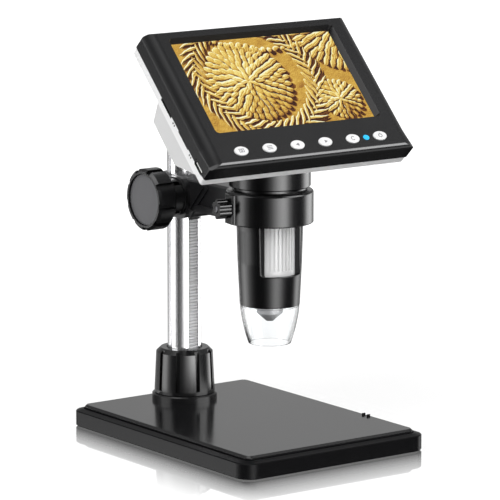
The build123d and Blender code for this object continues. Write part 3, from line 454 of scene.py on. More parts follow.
# centre x, centre y, radius, half length, half width, count, tilt, turn, taper, base
RELIEF_RINGS = (
    *blossom(-13.0, 1.5, 22.0, 6, 1.75),
    *blossom(34.0, -14.0, 10.5, 4, 1.35),
    *blossom(53.0, 31.0, 27.0, 4, 1.7),
    garland(-8.0, 4.0, 31.0, 1.45, 1.1),
    garland(-8.0, 4.0, 36.0, 1.45, -1.1),
    (10.0, 92.0, 73.0, 1.5, 1.5, 118, 0.0, 0.0, 0.0, 0.1),
)


def relief_group(leaf_ring):
    """Height of the whole relief: flowers, wreaths of leaves and a line of beads on sanded ground."""
    recipe, given, end = group_tree("gold_relief", [("Place", "NodeSocketVector")],
                                    [("Height", "NodeSocketFloat")])
    height = None
    for ring in RELIEF_RINGS:
        node = recipe.put("ShaderNodeGroup", node_tree=leaf_ring)
        recipe.feed(node.inputs["Place"], given["Place"])
        for socket, value in zip(list(node.inputs)[1:], ring):
            socket.default_value = value
        height = node.outputs[0] if height is None else recipe.larger(height, node.outputs[0])
    swell = recipe.times(recipe.noise(given["Place"], 0.11), 1.2)
    sand = recipe.times(recipe.noise(given["Place"], 1.6, 4.0, 0.7), 0.34)
    recipe.feed(end.inputs[0], recipe.plus(height, recipe.plus(swell, sand)))
    return recipe.tree


# In millimetres on the screen: the step that a slope is measured over, and the two places toward the
# light that can shade a place.
SLOPE_STEP = 0.24
SHADOW_REACHES = ((-0.6, 0.9), (-1.2, 1.9))


def display_finish(palette):
    """A lit display face that shows a golden relief under a raking light."""
    material, recipe, shader = new_finish("display_face")
    relief = relief_group(leaf_ring_group())
    place = recipe.put("ShaderNodeTexCoord").outputs["UV"]
    place = recipe.vector("MULTIPLY", recipe.vector("SUBTRACT", place, (0.5, 0.5, 0.0)),
                          (SCREEN_WIDTH, SCREEN_HEIGHT, 0.0))
    wander = recipe.vector("SUBTRACT", recipe.noise(place, 0.16, output="Color"), (0.5, 0.5, 0.5))
    place = recipe.vector("ADD", place, recipe.vector("MULTIPLY", wander, (3.0, 3.0, 0.0)))

    def height(along, up):
        node = recipe.put("ShaderNodeGroup", node_tree=relief)
        recipe.feed(node.inputs[0], recipe.vector("ADD", place, (along, up, 0.0)))
        return node.outputs[0]

    here = height(0.0, 0.0)
    fall_x = recipe.minus(height(SLOPE_STEP, 0.0), here)
    fall_y = recipe.minus(height(0.0, SLOPE_STEP), here)
    towards = recipe.minus(recipe.times(fall_x, 0.9), recipe.times(fall_y, 1.5))
    above = recipe.larger(*[recipe.minus(height(*reach), here) for reach in SHADOW_REACHES])
    shadow = recipe.spread(above, 0.12, 0.75)
    light = recipe.plus(0.46, recipe.times(towards, 1.5))
    light = recipe.plus(light, recipe.times(recipe.minus(here, 0.9), 0.07))
    light = recipe.math("SUBTRACT", light, recipe.times(shadow, 0.4), clamp=True)
    gold = recipe.ramp(light, ((0.0, (0.03, 0.004, 0.001)), (0.16, (0.18, 0.058, 0.011)),
                               (0.33, (0.42, 0.2, 0.03)), (0.5, palette.relief_gold),
                               (0.66, (0.85, 0.62, 0.155)), (0.82, (0.95, 0.85, 0.33)),
                               (1.0, (0.97, 0.96, 0.68))))
    recipe.fill(shader, {"Base Color": solid(0.01), "Roughness": 0.12, "Specular IOR Level": 0.1,
                         "Emission Color": gold, "Emission Strength": 1.0})
    return material


# ---------------- meshes
def settle(mesh_data, name, material, body, place=None, crease=35.0):
    """Turns a bmesh in millimetres into a piece in metres that rides on a body."""
    if place is not None:
        bmesh.ops.transform(mesh_data, matrix=place, verts=mesh_data.verts)
    bmesh.ops.scale(mesh_data, vec=(MM, MM, MM), verts=mesh_data.verts)
    mesh = bpy.data.meshes.new(name)
    mesh_data.to_mesh(mesh)
    mesh_data.free()
    mesh.shade_smooth()
    mesh.set_sharp_from_angle(angle=radians(crease))
    mesh.materials.append(material)
    piece = bpy.data.objects.new(name, mesh)
    bpy.context.scene.collection.objects.link(piece)
    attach(piece, body)
    return piece


def dress(material, *nodes):
    """Gives CAD nodes a finish."""
    for node in nodes:
        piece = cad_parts[node]
        if not piece.material_slots:
            piece.data.materials.append(material)
        for slot in piece.material_slots:
            slot.material = material


# ---------------- settings
COLOUR = {"subtype": "COLOR", "size": 3, "min": 0.0, "max": 1.0}


class MicroscopePalette(PropertyGroup):
    base_black: FloatVectorProperty(
        name="Base black", description="Colour of the base plate's moulding",
        default=(0.006, 0.006, 0.0065), **COLOUR)
    stand_black: FloatVectorProperty(
        name="Stand black", description="Colour of the nut and the carriage",
        default=(0.007, 0.007, 0.0075), **COLOUR)
    barrel_black: FloatVectorProperty(
        name="Barrel black", description="Colour of the barrel and the neck",
        default=(0.004, 0.004, 0.0045), **COLOUR)
    bezel_black: FloatVectorProperty(
        name="Bezel black", description="Colour of the frame round the screen",
        default=(0.0035, 0.0035, 0.004), **COLOUR)
    housing_white: FloatVectorProperty(
        name="Housing white", description="Colour of the head's rear housing",
        default=(0.92, 0.92, 0.92), **COLOUR)
    disc_grey: FloatVectorProperty(
        name="Disc grey", description="Colour of the disc in the height knob",
        default=(0.1, 0.1, 0.105), **COLOUR)
    button_white: FloatVectorProperty(
        name="Button white", description="Colour of the buttons",
        default=(0.85, 0.85, 0.85), **COLOUR)
    wheel_white: FloatVectorProperty(
        name="Wheel white", description="Colour of the focus wheel",
        default=(0.88, 0.88, 0.88), **COLOUR)
    column_metal: FloatVectorProperty(
        name="Column metal", description="Colour of the column",
        default=(0.82, 0.82, 0.83), **COLOUR)
    relief_gold: FloatVectorProperty(
        name="Relief gold", description="Middle tone of the screen's relief",
        default=(0.66, 0.40, 0.062), **COLOUR)
    lamp_cyan: FloatVectorProperty(
        name="Lamp cyan", description="Colour of the lamp between the buttons",
        default=(0.02, 0.42, 0.78), **COLOUR)
    icon_grey: FloatVectorProperty(
        name="Icon grey", description="Colour of the marks on the buttons",
        default=(0.16, 0.16, 0.17), **COLOUR)


class MicroscopeSizes(PropertyGroup):
    icon_size: FloatProperty(
        name="Icon size", description="Width of a mark on a button, in millimetres",
        default=2.6, min=1.0, max=4.5)
    icon_line: FloatProperty(
        name="Icon line", description="Width of a line in a mark, in millimetres",
        default=0.36, min=0.1, max=1.0)
    bead_radius: FloatProperty(
        name="Bead radius", description="Radius of the window's bead, in millimetres",
        default=0.3, min=0.1, max=0.6)


class MicroscopeStudio(PropertyGroup):
    sky: FloatProperty(
        name="Sky", description="Strength of the soft light from all round",
        default=0.62, min=0.0, max=5.0)
    key_power: FloatProperty(
        name="Key power", description="Power of the main lamp",
        subtype="POWER", default=9.0, min=0.0, max=500.0)
    fill_power: FloatProperty(
        name="Fill power", description="Power of the second lamp",
        subtype="POWER", default=4.0, min=0.0, max=500.0)
    floor_size: FloatProperty(
        name="Floor size", description="Width of the floor",
        unit="LENGTH", default=8.0, min=1.0, max=50.0)
    floor_glow: FloatProperty(
        name="Floor glow", description="How much the floor near the base glows",
        default=0.45, min=0.0, max=1.0)
    floor_bounce: FloatProperty(
        name="Floor bounce", description="How pale the floor is to faces above it",
        default=0.4, min=0.0, max=1.0)
    mirror: FloatProperty(
        name="Mirror", description="How much the floor mirrors beside the base",
        default=0.95, min=0.0, max=1.0)
    mirror_reach: FloatProperty(
        name="Mirror reach", description="How far from the base the floor mirrors",
        unit="LENGTH", default=0.085, min=0.01, max=1.0)


# ---------------- finishes of the CAD nodes
class MICROSCOPE_OT_mouldings(Operator):
    """Gives every plastic and rubber part its finish"""
    bl_idname = "microscope.mouldings"
    bl_label = "Mouldings"

    def execute(self, context):
        colours = context.scene.microscope_palette
        ledge = (below_the_slab, colours.base_black, 0.3, 0.06)
        rim = (on_the_rim, colours.base_black, 0.18, 0.045)
        dress(moulding("base_black", colours.base_black, 0.16, grain=0.5, depth=0.0015, zones=(ledge, rim)),
              "base_shell")
        dress(moulding("stand_black", colours.stand_black, 0.3, grain=0.4, depth=0.004, level=0.3),
              "base_cover", "column_cap", "pinion_cover")
        collar = (in_the_ring, colours.barrel_black, 0.2, 0.32)
        # Painted light: the carriage arm is the stand's black made twice as light.
        dress(moulding("arm_black_painted_lighter", shade(colours.stand_black, 2.0), 0.3, grain=0.4, depth=0.004, level=0.4,
                       zones=(collar,)), "carriage_arm")
        dress(moulding("nut_black", colours.stand_black, 0.2, grain=0.5, depth=0.002, level=0.4),
              "column_socket", "lock_nut")
        dress(moulding("foot_rubber", (0.03, 0.03, 0.03), 0.75, grain=0.6, depth=0.02),
              "rubber_foot_1", "rubber_foot_2", "rubber_foot_3", "rubber_foot_4")
        dress(moulding("knob_black", colours.stand_black, 0.26, grain=0.3, depth=0.004, level=0.4),
              "height_knob")
        dress(moulding("disc_grey", colours.disc_grey, 0.5, grain=0.25, depth=0.004, level=0.3), "knob_disc")
        # Painted shade: the window's cheeks are the barrel's black made darker.
        cheek = (painted_shade_in_the_window, shade(colours.barrel_black, 0.7), 0.5, 0.1)
        dress(moulding("barrel_black", colours.barrel_black, 0.2, grain=0.9, depth=0.001, level=0.32,
                       zones=(cheek,)), "barrel", "neck")
        dress(moulding("grip_black", colours.barrel_black, 0.14, grain=0.5, depth=0.001, level=0.55),
              "grip_knob")
        # Painted light: the recess walls are the bezel's black made twice as light.
        recess = (painted_light_in_the_recess, shade(colours.bezel_black, 2.0), 0.3, 0.22)
        walls = (on_the_side_walls, colours.bezel_black, 0.26, 0.2)
        roll = (low_on_the_roll, colours.bezel_black, 0.26, 0.13)
        front = (on_the_front_edge, colours.bezel_black, 0.2, 0.6)
        dress(moulding("bezel_black", colours.bezel_black, 0.26, grain=0.35, depth=0.003, level=0.4,
                       zones=(roll, walls, front, recess)), "front_bezel")
        # Painted shade: the bulge behind the flange is the housing's white made darker.
        bulge = (painted_shade_on_the_bulge, shade(colours.housing_white, 0.76), 0.42, 0.5)
        dress(moulding("housing_white", colours.housing_white, 0.42, grain=0.4, depth=0.008, mottle=0.02,
                       zones=(bulge,)), "rear_housing")
        # Painted shade: the wheel's grooves are its white made a little darker.
        groove = (painted_shade_in_the_grooves, shade(colours.wheel_white, 0.98), 0.5, 0.5)
        dress(moulding("wheel_white", colours.wheel_white, 0.3, grain=0.5, depth=0.003, mottle=0.03,
                       zones=(groove,)), "focus_wheel")
        dress(moulding("button_white", colours.button_white, 0.28, grain=0.3, depth=0.003, mottle=0.02),
              *[f"button_{number}" for number in range(1, 7)])
        dress(moulding("carrier_black", (0.02, 0.02, 0.02), 0.6, grain=0.3, depth=0.01),
              "sensor_holder", "lens_carrier")
        dress(moulding("socket_black", (0.004, 0.004, 0.004), 0.3, grain=0.3, depth=0.004, level=0.25),
              "usb_port", "card_socket", "side_socket", "image_sensor")
        dress(moulding("nylon", (0.75, 0.75, 0.7), 0.5, grain=0.4, depth=0.006), "friction_pad")
        dress(moulding("cell_silver", (0.4, 0.41, 0.43), 0.35, grain=0.8, depth=0.006), "battery")
        dress(moulding("board_green", (0.02, 0.13, 0.05), 0.35, grain=0.4, depth=0.01),
              "sensor_board", "led_board", "main_board", "button_board")
        return {"FINISHED"}


class MICROSCOPE_OT_metal_parts(Operator):
    """Gives every metal part its finish"""
    bl_idname = "microscope.metal_parts"
    bl_label = "Metal parts"

    def execute(self, context):
        colours = context.scene.microscope_palette
        dress(drawn_metal("column_metal", colours.column_metal, 0.18), "column")
        dress(turned_metal("rack_metal", (0.6, 0.6, 0.61), 0.4, along="X", metallic=0.35), "rack")
        dress(turned_metal("steel", (0.55, 0.55, 0.56), 0.28, along="X"), "base_screws", "socket_screws",
              "tension_screw", "pinion_shaft", "neck_screws", "key_switches")
        dress(turned_metal("black_steel", (0.03, 0.03, 0.032), 0.3, along="X"),
              "cover_screws", "case_screws")
        dress(turned_metal("chrome_tip", (0.1, 0.1, 0.105), 0.3, along="X"), "grip_screw")
        dress(turned_metal("weight_iron", (0.2, 0.2, 0.21), 0.5), "base_weight")
        dress(turned_metal("tray_metal", (0.6, 0.6, 0.6), 0.35, along="X"), "backlight")
        dress(turned_metal("cone_metal", (0.34, 0.34, 0.35), 0.36, metallic=0.6), "lens_cone")
        return {"FINISHED"}


class MICROSCOPE_OT_clear_parts(Operator):
    """Gives the hood, the lenses and the lamps their clear finish"""
    bl_idname = "microscope.clear_parts"
    bl_label = "Clear parts"

    def execute(self, context):
        colours = context.scene.microscope_palette
        dress(clear_finish("hood_clear", (0.97, 0.98, 0.985), 1.45, edge=0.03), "clear_hood")
        dress(clear_finish("lens_glass", (0.93, 0.96, 1.0), 1.52), "front_lens", "rear_lens")
        dress(speckled("led_amber", 900.0, (0.95, 0.9, 0.6), (0.98, 0.96, 0.85), 0.25), "ring_leds")
        cyan = (shade(colours.lamp_cyan, 0.85), shade(colours.lamp_cyan, 1.2))
        dress(speckled("lamp_cyan", 500.0, *cyan, 0.2, glow=0.4), "indicator_lamp")
        return {"FINISHED"}


# ---------------- new pieces
class MICROSCOPE_OT_screen_picture(Operator):
    """Lays the lit picture on the display panel"""
    bl_idname = "microscope.screen_picture"
    bl_label = "Screen picture"

    def execute(self, context):
        face = bmesh.new()
        face.loops.layers.uv.new("UVMap")
        bmesh.ops.create_grid(face, x_segments=24, y_segments=14, size=0.5, calc_uvs=True)
        bmesh.ops.scale(face, vec=(SCREEN_WIDTH - 0.04, SCREEN_HEIGHT - 0.04, 1.0), verts=face.verts)
        place = HEAD @ Matrix.Translation((0, 0, 0.03))
        settle(face, "screen_picture", display_finish(context.scene.microscope_palette), "head",
               place)
        dress(moulding("panel_black", (0.006, 0.006, 0.007), 0.15, depth=0.001), "display_panel")
        return {"FINISHED"}


INK = 0.03
RING_STEPS = 28


def only(kind, items):
    return [item for item in items if isinstance(item, kind)]


def stroke(icon, start, end, width):
    """A straight printed line with square ends, in the icon's own flat."""
    start, end = Vector(start), Vector(end)
    middle = (start + end) / 2
    run = end - start
    placed = Matrix.Translation((middle.x, middle.y, INK / 2)) @ Matrix.Rotation(atan2(run.y, run.x), 4, "Z")
    bmesh.ops.create_cube(icon, size=1.0,
                          matrix=placed @ Matrix.Diagonal((run.length + width, width, INK, 1)))


def ring(icon, radius, width, start=0.0, turn=360.0):
    """A printed ring or arc."""
    angle = radians(start)
    inner = Vector((cos(angle), sin(angle), 0)) * (radius - width / 2)
    outer = Vector((cos(angle), sin(angle), 0)) * (radius + width / 2)
    corners = [inner, outer, outer + Vector((0, 0, INK)), inner + Vector((0, 0, INK))]
    verts = [icon.verts.new(corner) for corner in corners]
    edges = [icon.edges.new((verts[index], verts[(index + 1) % 4])) for index in range(4)]
    whole = turn >= 360.0
    spun = bmesh.ops.spin(icon, geom=verts + edges, axis=(0, 0, 1), angle=radians(turn),
                          steps=RING_STEPS, use_merge=whole)
    if not whole:
        icon.faces.new(verts[::-1])
        bmesh.ops.contextual_create(icon, geom=only(bmesh.types.BMVert, spun["geom_last"]))


def wedge(icon, tip, base, half):
    """A printed triangle from its base to its tip, along x."""
    flat = [icon.verts.new((base, -half, 0)), icon.verts.new((tip, 0, 0)), icon.verts.new((base, half, 0))]
    face = icon.faces.new(flat if tip > base else flat[::-1])
    grown = bmesh.ops.extrude_face_region(icon, geom=[face])
    bmesh.ops.translate(icon, vec=(0, 0, INK), verts=only(bmesh.types.BMVert, grown["geom"]))


def snapshot_icon(icon, size, line):
    for side in (-1, 1):
        stroke(icon, (-size / 2, side * size / 3), (size / 2, side * size / 3), line)
        stroke(icon, (side * size / 2, -size / 3), (side * size / 2, size / 3), line)
    ring(icon, size / 5.5, line)


def list_icon(icon, size, line):
    for height in (-size / 3, 0, size / 3):
        stroke(icon, (-size / 2, height), (size / 2, height), line)


def back_icon(icon, size, line):
    wedge(icon, -size / 2.2, size / 5, size / 3)
    stroke(icon, (size / 5, -size / 12), (size / 5, size / 12), line)


def forward_icon(icon, size, line):
    wedge(icon, size / 2.2, -size / 5, size / 3)


def loop_icon(icon, size, line):
    ring(icon, size / 2.6, line, start=40, turn=280)


def power_icon(icon, size, line):
    ring(icon, size / 2.6, line, start=120, turn=300)
    stroke(icon, (0, size / 8), (0, size / 2.1), line)


ICONS = (snapshot_icon, list_icon, back_icon, forward_icon, loop_icon, power_icon)


class MICROSCOPE_OT_button_icons(Operator):
    """Prints a small mark on each button"""
    bl_idname = "microscope.button_icons"
    bl_label = "Button icons"

    def execute(self, context):
        sizes = context.scene.microscope_sizes
        ink = moulding("icon_grey", context.scene.microscope_palette.icon_grey, 0.45, grain=0.2, depth=0.002)
        for number, (x, draw) in enumerate(zip(BUTTON_XS, ICONS), start=1):
            icon = bmesh.new()
            draw(icon, sizes.icon_size, sizes.icon_line)
            bmesh.ops.recalc_face_normals(icon, faces=icon.faces)
            place = HEAD @ Matrix.Translation((x, BUTTON_ROW, BUTTON_FACE - 0.01))
            settle(icon, f"button_icon_{number}", ink, f"button_{number}", place)
        return {"FINISHED"}


def read_off(stops, value):
    """The value between the two nearest stops."""
    for (low, first), (high, second) in zip(stops, stops[1:]):
        if value <= high:
            return first + (second - first) * (value - low) / (high - low)
    return stops[-1][1]


def window_edge():
    """Places along the window's two sides and its lower edge, as (arc length from its middle, height)."""
    bottom = WINDOW_SIDE[0][0]
    corner = bottom + WINDOW_CORNER

    def half(height):
        return read_off(BARREL_SIDE, height) * radians(read_off(WINDOW_SIDE, height))

    side = [(half(height), height) for height in (WINDOW_TOP, 108.0, 104.0, 100.0, 96.0, 92.0, corner)]
    reach = half(corner) - WINDOW_CORNER
    bend = [(reach + WINDOW_CORNER * cos(radians(turn)), corner - WINDOW_CORNER * sin(radians(turn)))
            for turn in (15, 30, 45, 60, 75, 90)]
    floor = [(reach * share, bottom) for share in (0.8, 0.6, 0.4, 0.2, 0.0)]
    right = side + bend + floor
    return right + [(-arc, height) for arc, height in right[-2::-1]]


def bead_stations():
    """The bead's cross sections along the window's edge, as matrices with the edge's run as z."""
    places, outward = [], []
    for arc, height in window_edge():
        reach = read_off(BARREL_SIDE, height)
        angle = radians(WINDOW_MIDDLE) + arc / reach
        outward.append(Vector((cos(angle), sin(angle), 0)))
        places.append(outward[-1] * reach + Vector((0, RING_Y, height)))
    stations = []
    for index, (place, out) in enumerate(zip(places, outward)):
        along = (places[min(index + 1, len(places) - 1)] - places[max(index - 1, 0)]).normalized()
        turned = Matrix((out, along.cross(out), along)).transposed().to_4x4()
        stations.append(Matrix.Translation(place) @ turned)
    return stations


class MICROSCOPE_OT_window_bead(Operator):
    """Runs a glossy bead round the barrel's window"""
    bl_idname = "microscope.window_bead"
    bl_label = "Window bead"

    def execute(self, context):
        stations = bead_stations()
        bead = bmesh.new()
        bmesh.ops.create_circle(bead, cap_ends=True, segments=8,
                                radius=context.scene.microscope_sizes.bead_radius, matrix=stations[0])
        end = [*bead.verts, *bead.edges, *bead.faces]
        for before, after in zip(stations, stations[1:]):
            end = bmesh.ops.extrude_face_region(bead, geom=end)["geom"]
            bmesh.ops.transform(bead, matrix=after @ before.inverted(), verts=only(bmesh.types.BMVert, end))
        bmesh.ops.recalc_face_normals(bead, faces=bead.faces)
        gloss = moulding("bead_black", context.scene.microscope_palette.barrel_black, 0.12, depth=0.001)
        settle(bead, "window_bead", gloss, "head", crease=60.0)
        return {"FINISHED"}


def soften(mesh_data, radius):
    """Rounds every edge a little."""
    bmesh.ops.bevel(mesh_data, geom=mesh_data.edges, offset=radius, offset_type="OFFSET", segments=2,
                    profile=0.5, affect="EDGES", material=-1)


class MICROSCOPE_OT_side_details(Operator):
    """Adds the white tongue in the cable socket and the pin marks on the housing's left side"""
    bl_idname = "microscope.side_details"
    bl_label = "Side details"

    def execute(self, context):
        tongue = bmesh.new()
        bmesh.ops.create_cube(tongue, size=1.0, matrix=Matrix.Diagonal((2.2, 5.9, 0.85, 1)))
        soften(tongue, 0.12)
        white = moulding("tongue_white", (0.8, 0.8, 0.78), 0.35, grain=0.2, depth=0.002)
        settle(tongue, "port_tongue", white, "head", HEAD @ Matrix.Translation(TONGUE_PLACE))
        marks = bmesh.new()
        for row in PIN_ROWS:
            place = Matrix.Translation((PIN_X, row, PIN_DEPTH)) @ Matrix.Rotation(radians(90), 4, "Y")
            bmesh.ops.create_cone(marks, cap_ends=True, segments=16, radius1=0.48, radius2=0.48, depth=0.1,
                                  matrix=place)
        dark = moulding("mark_black", (0.01, 0.01, 0.01), 0.5, grain=0.2, depth=0.001)
        settle(marks, "pin_marks", dark, "head", HEAD)
        return {"FINISHED"}


class MICROSCOPE_OT_edge_ribs(Operator):
    """Stands two small ribs on the slab beside its right edge, black like the base and blacker still as
    painted shade
    """
    bl_idname = "microscope.edge_ribs"
    bl_label = "Edge ribs"

    def execute(self, context):
        ribs = bmesh.new()
        for y in RIB_ROWS:
            place = Matrix.Translation((RIB_X, y, SLAB_TOP + 0.5))
            bmesh.ops.create_cube(ribs, size=1.0, matrix=place @ Matrix.Diagonal((1.9, 0.8, 1.1, 1)))
        soften(ribs, 0.2)
        # Painted shade: the ribs are black like the base, and made blacker than its moulding so that they
        # read as dark marks.
        black = moulding("rib_black_painted_shade", (0.002, 0.002, 0.002), 0.5, grain=0.2, depth=0.001, level=0.1)
        settle(ribs, "edge_ribs", black, "base")
        return {"FINISHED"}


# ---------------- stage
# Places and lengths of the stage, in metres, and the camera's turns, in degrees.
CAMERA_PLACE = (-1.0426, -1.4300, 0.4166)
CAMERA_YAW = 36.1545
CAMERA_PITCH = 10.32
LENS = 264.02
KEY_PLACE = (-0.75, -0.35, 1.05)
FILL_PLACE = (0.7, -0.9, 0.7)
LAMP_AIM = Vector((0, 0, 0.09))
LAMP_WIDTH = 0.9
GLOW_START = 0.2
GLOW_END = 0.5
# How much sooner the floor's mirror fades beside the base and in front of it.
MIRROR_FADE = (1.7, 1.24)

# Brightness of the studio by compass angle, for five heights of view. 0 is at the camera's side, and the
# angle rises to the camera's right.
DOWN_PANELS = ((-180, 0.08), (-60, 0.05), (-10, 0.15), (30, 0.9), (100, 0.9), (122, 0.08), (179.9, 0.08))
LOWER_PANELS = ((-180, 0.62), (-176, 0.5), (-150, 0.5), (-133, 0.6), (-118, 3.0), (-106, 5.5), (-94, 4.2),
                (-83, 1.4), (-70, 0.4), (-56, 0.05), (-26, 0.05), (-15, 0.3), (-6, 1.0), (4, 3.0), (14, 5.6),
                (23, 7.0), (32, 5.6), (42, 2.6), (53, 0.6), (64, 0.1), (90, 0.1), (100, 0.8), (111, 3.4),
                (122, 3.6), (134, 1.0), (146, 0.4), (172, 0.55), (179.9, 0.62))
LOW_PANELS = ((-180, 0.62), (-176.5, 0.5), (-172, 0.42), (-140, 0.5), (-108, 0.4), (-97, 0.3), (-88, 6.0),
              (-76, 6.0), (-64, 1.6), (-52, 0.2), (-36, 0.05), (-20, 0.05), (-8, 0.3), (3, 1.6), (14, 5.5),
              (25, 11.0), (36, 15.0), (44, 12.5), (54, 4.0), (66, 0.4), (84, 0.1), (97, 0.2), (106, 2.0),
              (116, 5.5), (128, 5.2), (140, 3.0), (148, 0.6), (172, 0.55), (176.5, 0.52), (179.9, 0.62))
MIDDLE_PANELS = ((-180, 0.62), (-174, 0.46), (-120, 0.35), (-96, 1.2), (-84, 4.5), (-56, 4.5), (-44, 0.2),
                 (40, 0.2), (54, 8.0), (92, 8.0), (104, 0.4), (160, 0.4), (172, 0.62), (179.9, 0.62))
HIGH_PANELS = ((-180, 0.4), (-100, 0.4), (-70, 2.1), (30, 2.1), (64, 0.4), (179.9, 0.4))
PEAK = 15.0
# The steepness of view, from -1 straight down to 1 straight up, over which a ring follows the one below it.
HIGHER_RINGS = ((LOWER_PANELS, -0.5, -0.35), (LOW_PANELS, -0.212, -0.204), (MIDDLE_PANELS, 0.0, 0.06),
                (HIGH_PANELS, 0.68, 0.86))


def panels(recipe, turn, stops):
    """One ring of panels as a grey ramp round the compass."""
    bands = recipe.ramp(turn, [((angle + 180.0) / 360.0, value / PEAK) for angle, value in stops], "EASE")
    return recipe.times(bands, PEAK)


def studio_panels(recipe, direction):
    """Brightness of the studio that polished parts mirror."""
    east, north, rise = recipe.parts(direction)
    angle = recipe.math("ARCTAN2", north, east)
    turn = recipe.math("DIVIDE", recipe.plus(angle, radians(90.0 + CAMERA_YAW + 180.0)), 2 * pi)
    turn = recipe.math("FRACT", turn)
    light = panels(recipe, turn, DOWN_PANELS)
    for stops, start, end in HIGHER_RINGS:
        change = recipe.minus(panels(recipe, turn, stops), light)
        light = recipe.plus(light, recipe.times(recipe.spread(rise, start, end), change))
    return light


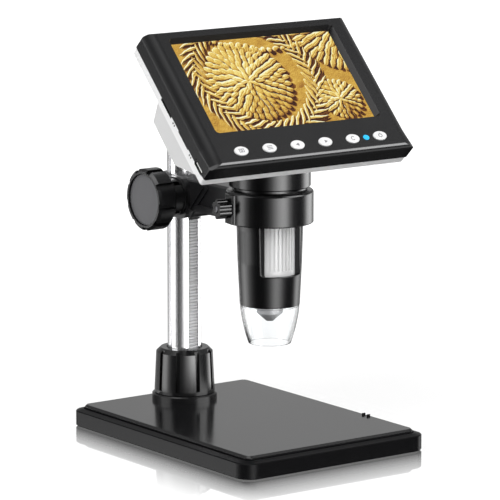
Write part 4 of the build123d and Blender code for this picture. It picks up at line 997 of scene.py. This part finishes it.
class MICROSCOPE_OT_stage(Operator):
    """Builds the floor, the soft studio light and the camera"""
    bl_idname = "microscope.stage"
    bl_label = "Stage"

    def execute(self, context):
        scene = context.scene
        studio = scene.microscope_studio
        scene.view_settings.view_transform = "Standard"
        self.build_world(scene, studio)
        self.build_floor(studio)
        self.build_lamp("key_lamp", KEY_PLACE, studio.key_power)
        self.build_lamp("fill_lamp", FILL_PLACE, studio.fill_power)
        self.build_camera(scene)
        return {"FINISHED"}

    def build_camera(self, scene):
        camera = bpy.data.cameras.new("camera")
        camera.lens = LENS
        camera.sensor_width = 36.0
        camera.sensor_fit = "HORIZONTAL"
        camera.clip_start = 0.05
        camera.clip_end = 30.0
        viewer = bpy.data.objects.new("camera", camera)
        viewer.matrix_world = (Matrix.Translation(CAMERA_PLACE)
                               @ Matrix.Rotation(radians(-CAMERA_YAW), 4, "Z")
                               @ Matrix.Rotation(radians(90 - CAMERA_PITCH), 4, "X"))
        scene.collection.objects.link(viewer)
        scene.camera = viewer

    def build_world(self, scene, studio):
        world = bpy.data.worlds.new("studio")
        world.use_nodes = True
        scene.world = world
        recipe = Recipe(world.node_tree)
        background = recipe.own("BACKGROUND")
        rays = recipe.put("ShaderNodeLightPath").outputs
        direction = recipe.put("ShaderNodeTexCoord").outputs["Generated"]
        glossy, through = rays["Is Glossy Ray"], rays["Is Transmission Ray"]
        shone = recipe.times(glossy, studio_panels(recipe, direction))
        even = recipe.times(recipe.minus(1.0, glossy), studio.sky)
        straight = recipe.minus(through, rays["Glossy Depth"])
        mirrored = recipe.minus(recipe.times(glossy, rays["Is Singular Ray"]), through)
        white = recipe.larger(rays["Is Camera Ray"], recipe.larger(straight, mirrored))
        strength = recipe.larger(recipe.plus(shone, even), white)
        recipe.fill(background, {"Color": solid(1.0), "Strength": strength})

    def build_floor(self, studio):
        flat = bmesh.new()
        bmesh.ops.create_grid(flat, x_segments=1, y_segments=1, size=studio.floor_size / 2)
        mesh = bpy.data.meshes.new("floor")
        flat.to_mesh(mesh)
        flat.free()
        mesh.materials.append(self.floor_finish(studio))
        floor = bpy.data.objects.new("floor", mesh)
        bpy.context.scene.collection.objects.link(floor)
        floor.visible_glossy = False

    def floor_finish(self, studio):
        """A white floor that mirrors beside the base and looks darker to the faces above it."""
        material, recipe, shader = new_finish("floor_pale")
        place = object_place(recipe)
        grain = recipe.noise(place, 300.0)
        rays = recipe.put("ShaderNodeLightPath").outputs
        seen = recipe.larger(rays["Is Camera Ray"], rays["Is Transmission Ray"])
        pale = recipe.mix(grain, solid(0.9), solid(0.93))
        recipe.fill(shader, {"Base Color": recipe.mix(seen, solid(studio.floor_bounce), pale),
                             "Roughness": 0.6, "Specular IOR Level": 0.0})
        glow = recipe.put("ShaderNodeEmission")
        recipe.fill(glow, {"Color": solid(1.0), "Strength": 1.3})
        far = recipe.spread(recipe.vector("LENGTH", place), GLOW_START, GLOW_END, studio.floor_glow, 1.0)
        lit = recipe.blend(recipe.times(far, seen), shader.outputs[0], glow.outputs[0])
        out = recipe.parts(recipe.vector("ABSOLUTE", place))
        squares = []
        for along, half, fade in zip(out, PLATE_HALF, MIRROR_FADE):
            beyond = recipe.times(recipe.larger(0.0, recipe.minus(along, half * MM)), fade)
            squares.append(recipe.times(beyond, beyond))
        gap = recipe.math("SQRT", recipe.plus(*squares))
        mirror = recipe.put("ShaderNodeBsdfGlossy")
        recipe.fill(mirror, {"Color": solid(1.0), "Roughness": 0.0})
        share = recipe.spread(gap, 0.0, studio.mirror_reach, studio.mirror, 0.0)
        recipe.feed(recipe.own("OUTPUT_MATERIAL").inputs["Surface"],
                    recipe.blend(recipe.math("POWER", share, 1.6), lit, mirror.outputs[0]))
        return material

    def build_lamp(self, name, place, power):
        lamp = bpy.data.lights.new(name, "AREA")
        lamp.shape = "DISK"
        lamp.size = LAMP_WIDTH
        lamp.energy = power
        holder = bpy.data.objects.new(name, lamp)
        aim = LAMP_AIM - Vector(place)
        holder.matrix_world = Matrix.Translation(place) @ aim.to_track_quat("-Z", "Y").to_matrix().to_4x4()
        bpy.context.scene.collection.objects.link(holder)
        holder.visible_glossy = False
        holder.visible_camera = False


class MICROSCOPE_PT_sidebar(Panel):
    """Shows a button in the sidebar for each step that builds the microscope"""
    bl_idname = "MICROSCOPE_PT_sidebar"
    bl_label = "Microscope"
    bl_space_type = "VIEW_3D"
    bl_region_type = "UI"
    bl_category = "Microscope"

    def draw(self, context):
        for step in STEPS:
            self.layout.operator(step.bl_idname)


STEPS = (MICROSCOPE_OT_stage, MICROSCOPE_OT_mouldings, MICROSCOPE_OT_metal_parts, MICROSCOPE_OT_clear_parts,
         MICROSCOPE_OT_screen_picture, MICROSCOPE_OT_button_icons, MICROSCOPE_OT_window_bead,
         MICROSCOPE_OT_side_details, MICROSCOPE_OT_edge_ribs)
CLASSES = (MicroscopePalette, MicroscopeSizes, MicroscopeStudio, *STEPS, MICROSCOPE_PT_sidebar)


def register():
    for kind in CLASSES:
        bpy.utils.register_class(kind)
    bpy.types.Scene.microscope_palette = PointerProperty(type=MicroscopePalette)
    bpy.types.Scene.microscope_sizes = PointerProperty(type=MicroscopeSizes)
    bpy.types.Scene.microscope_studio = PointerProperty(type=MicroscopeStudio)


def unregister():
    del bpy.types.Scene.microscope_studio
    del bpy.types.Scene.microscope_sizes
    del bpy.types.Scene.microscope_palette
    for kind in reversed(CLASSES):
        bpy.utils.unregister_class(kind)


def main():
    register()
    for step in STEPS:
        family, action = step.bl_idname.split(".")
        getattr(getattr(bpy.ops, family), action)()


if __name__ == "__main__":
    main()
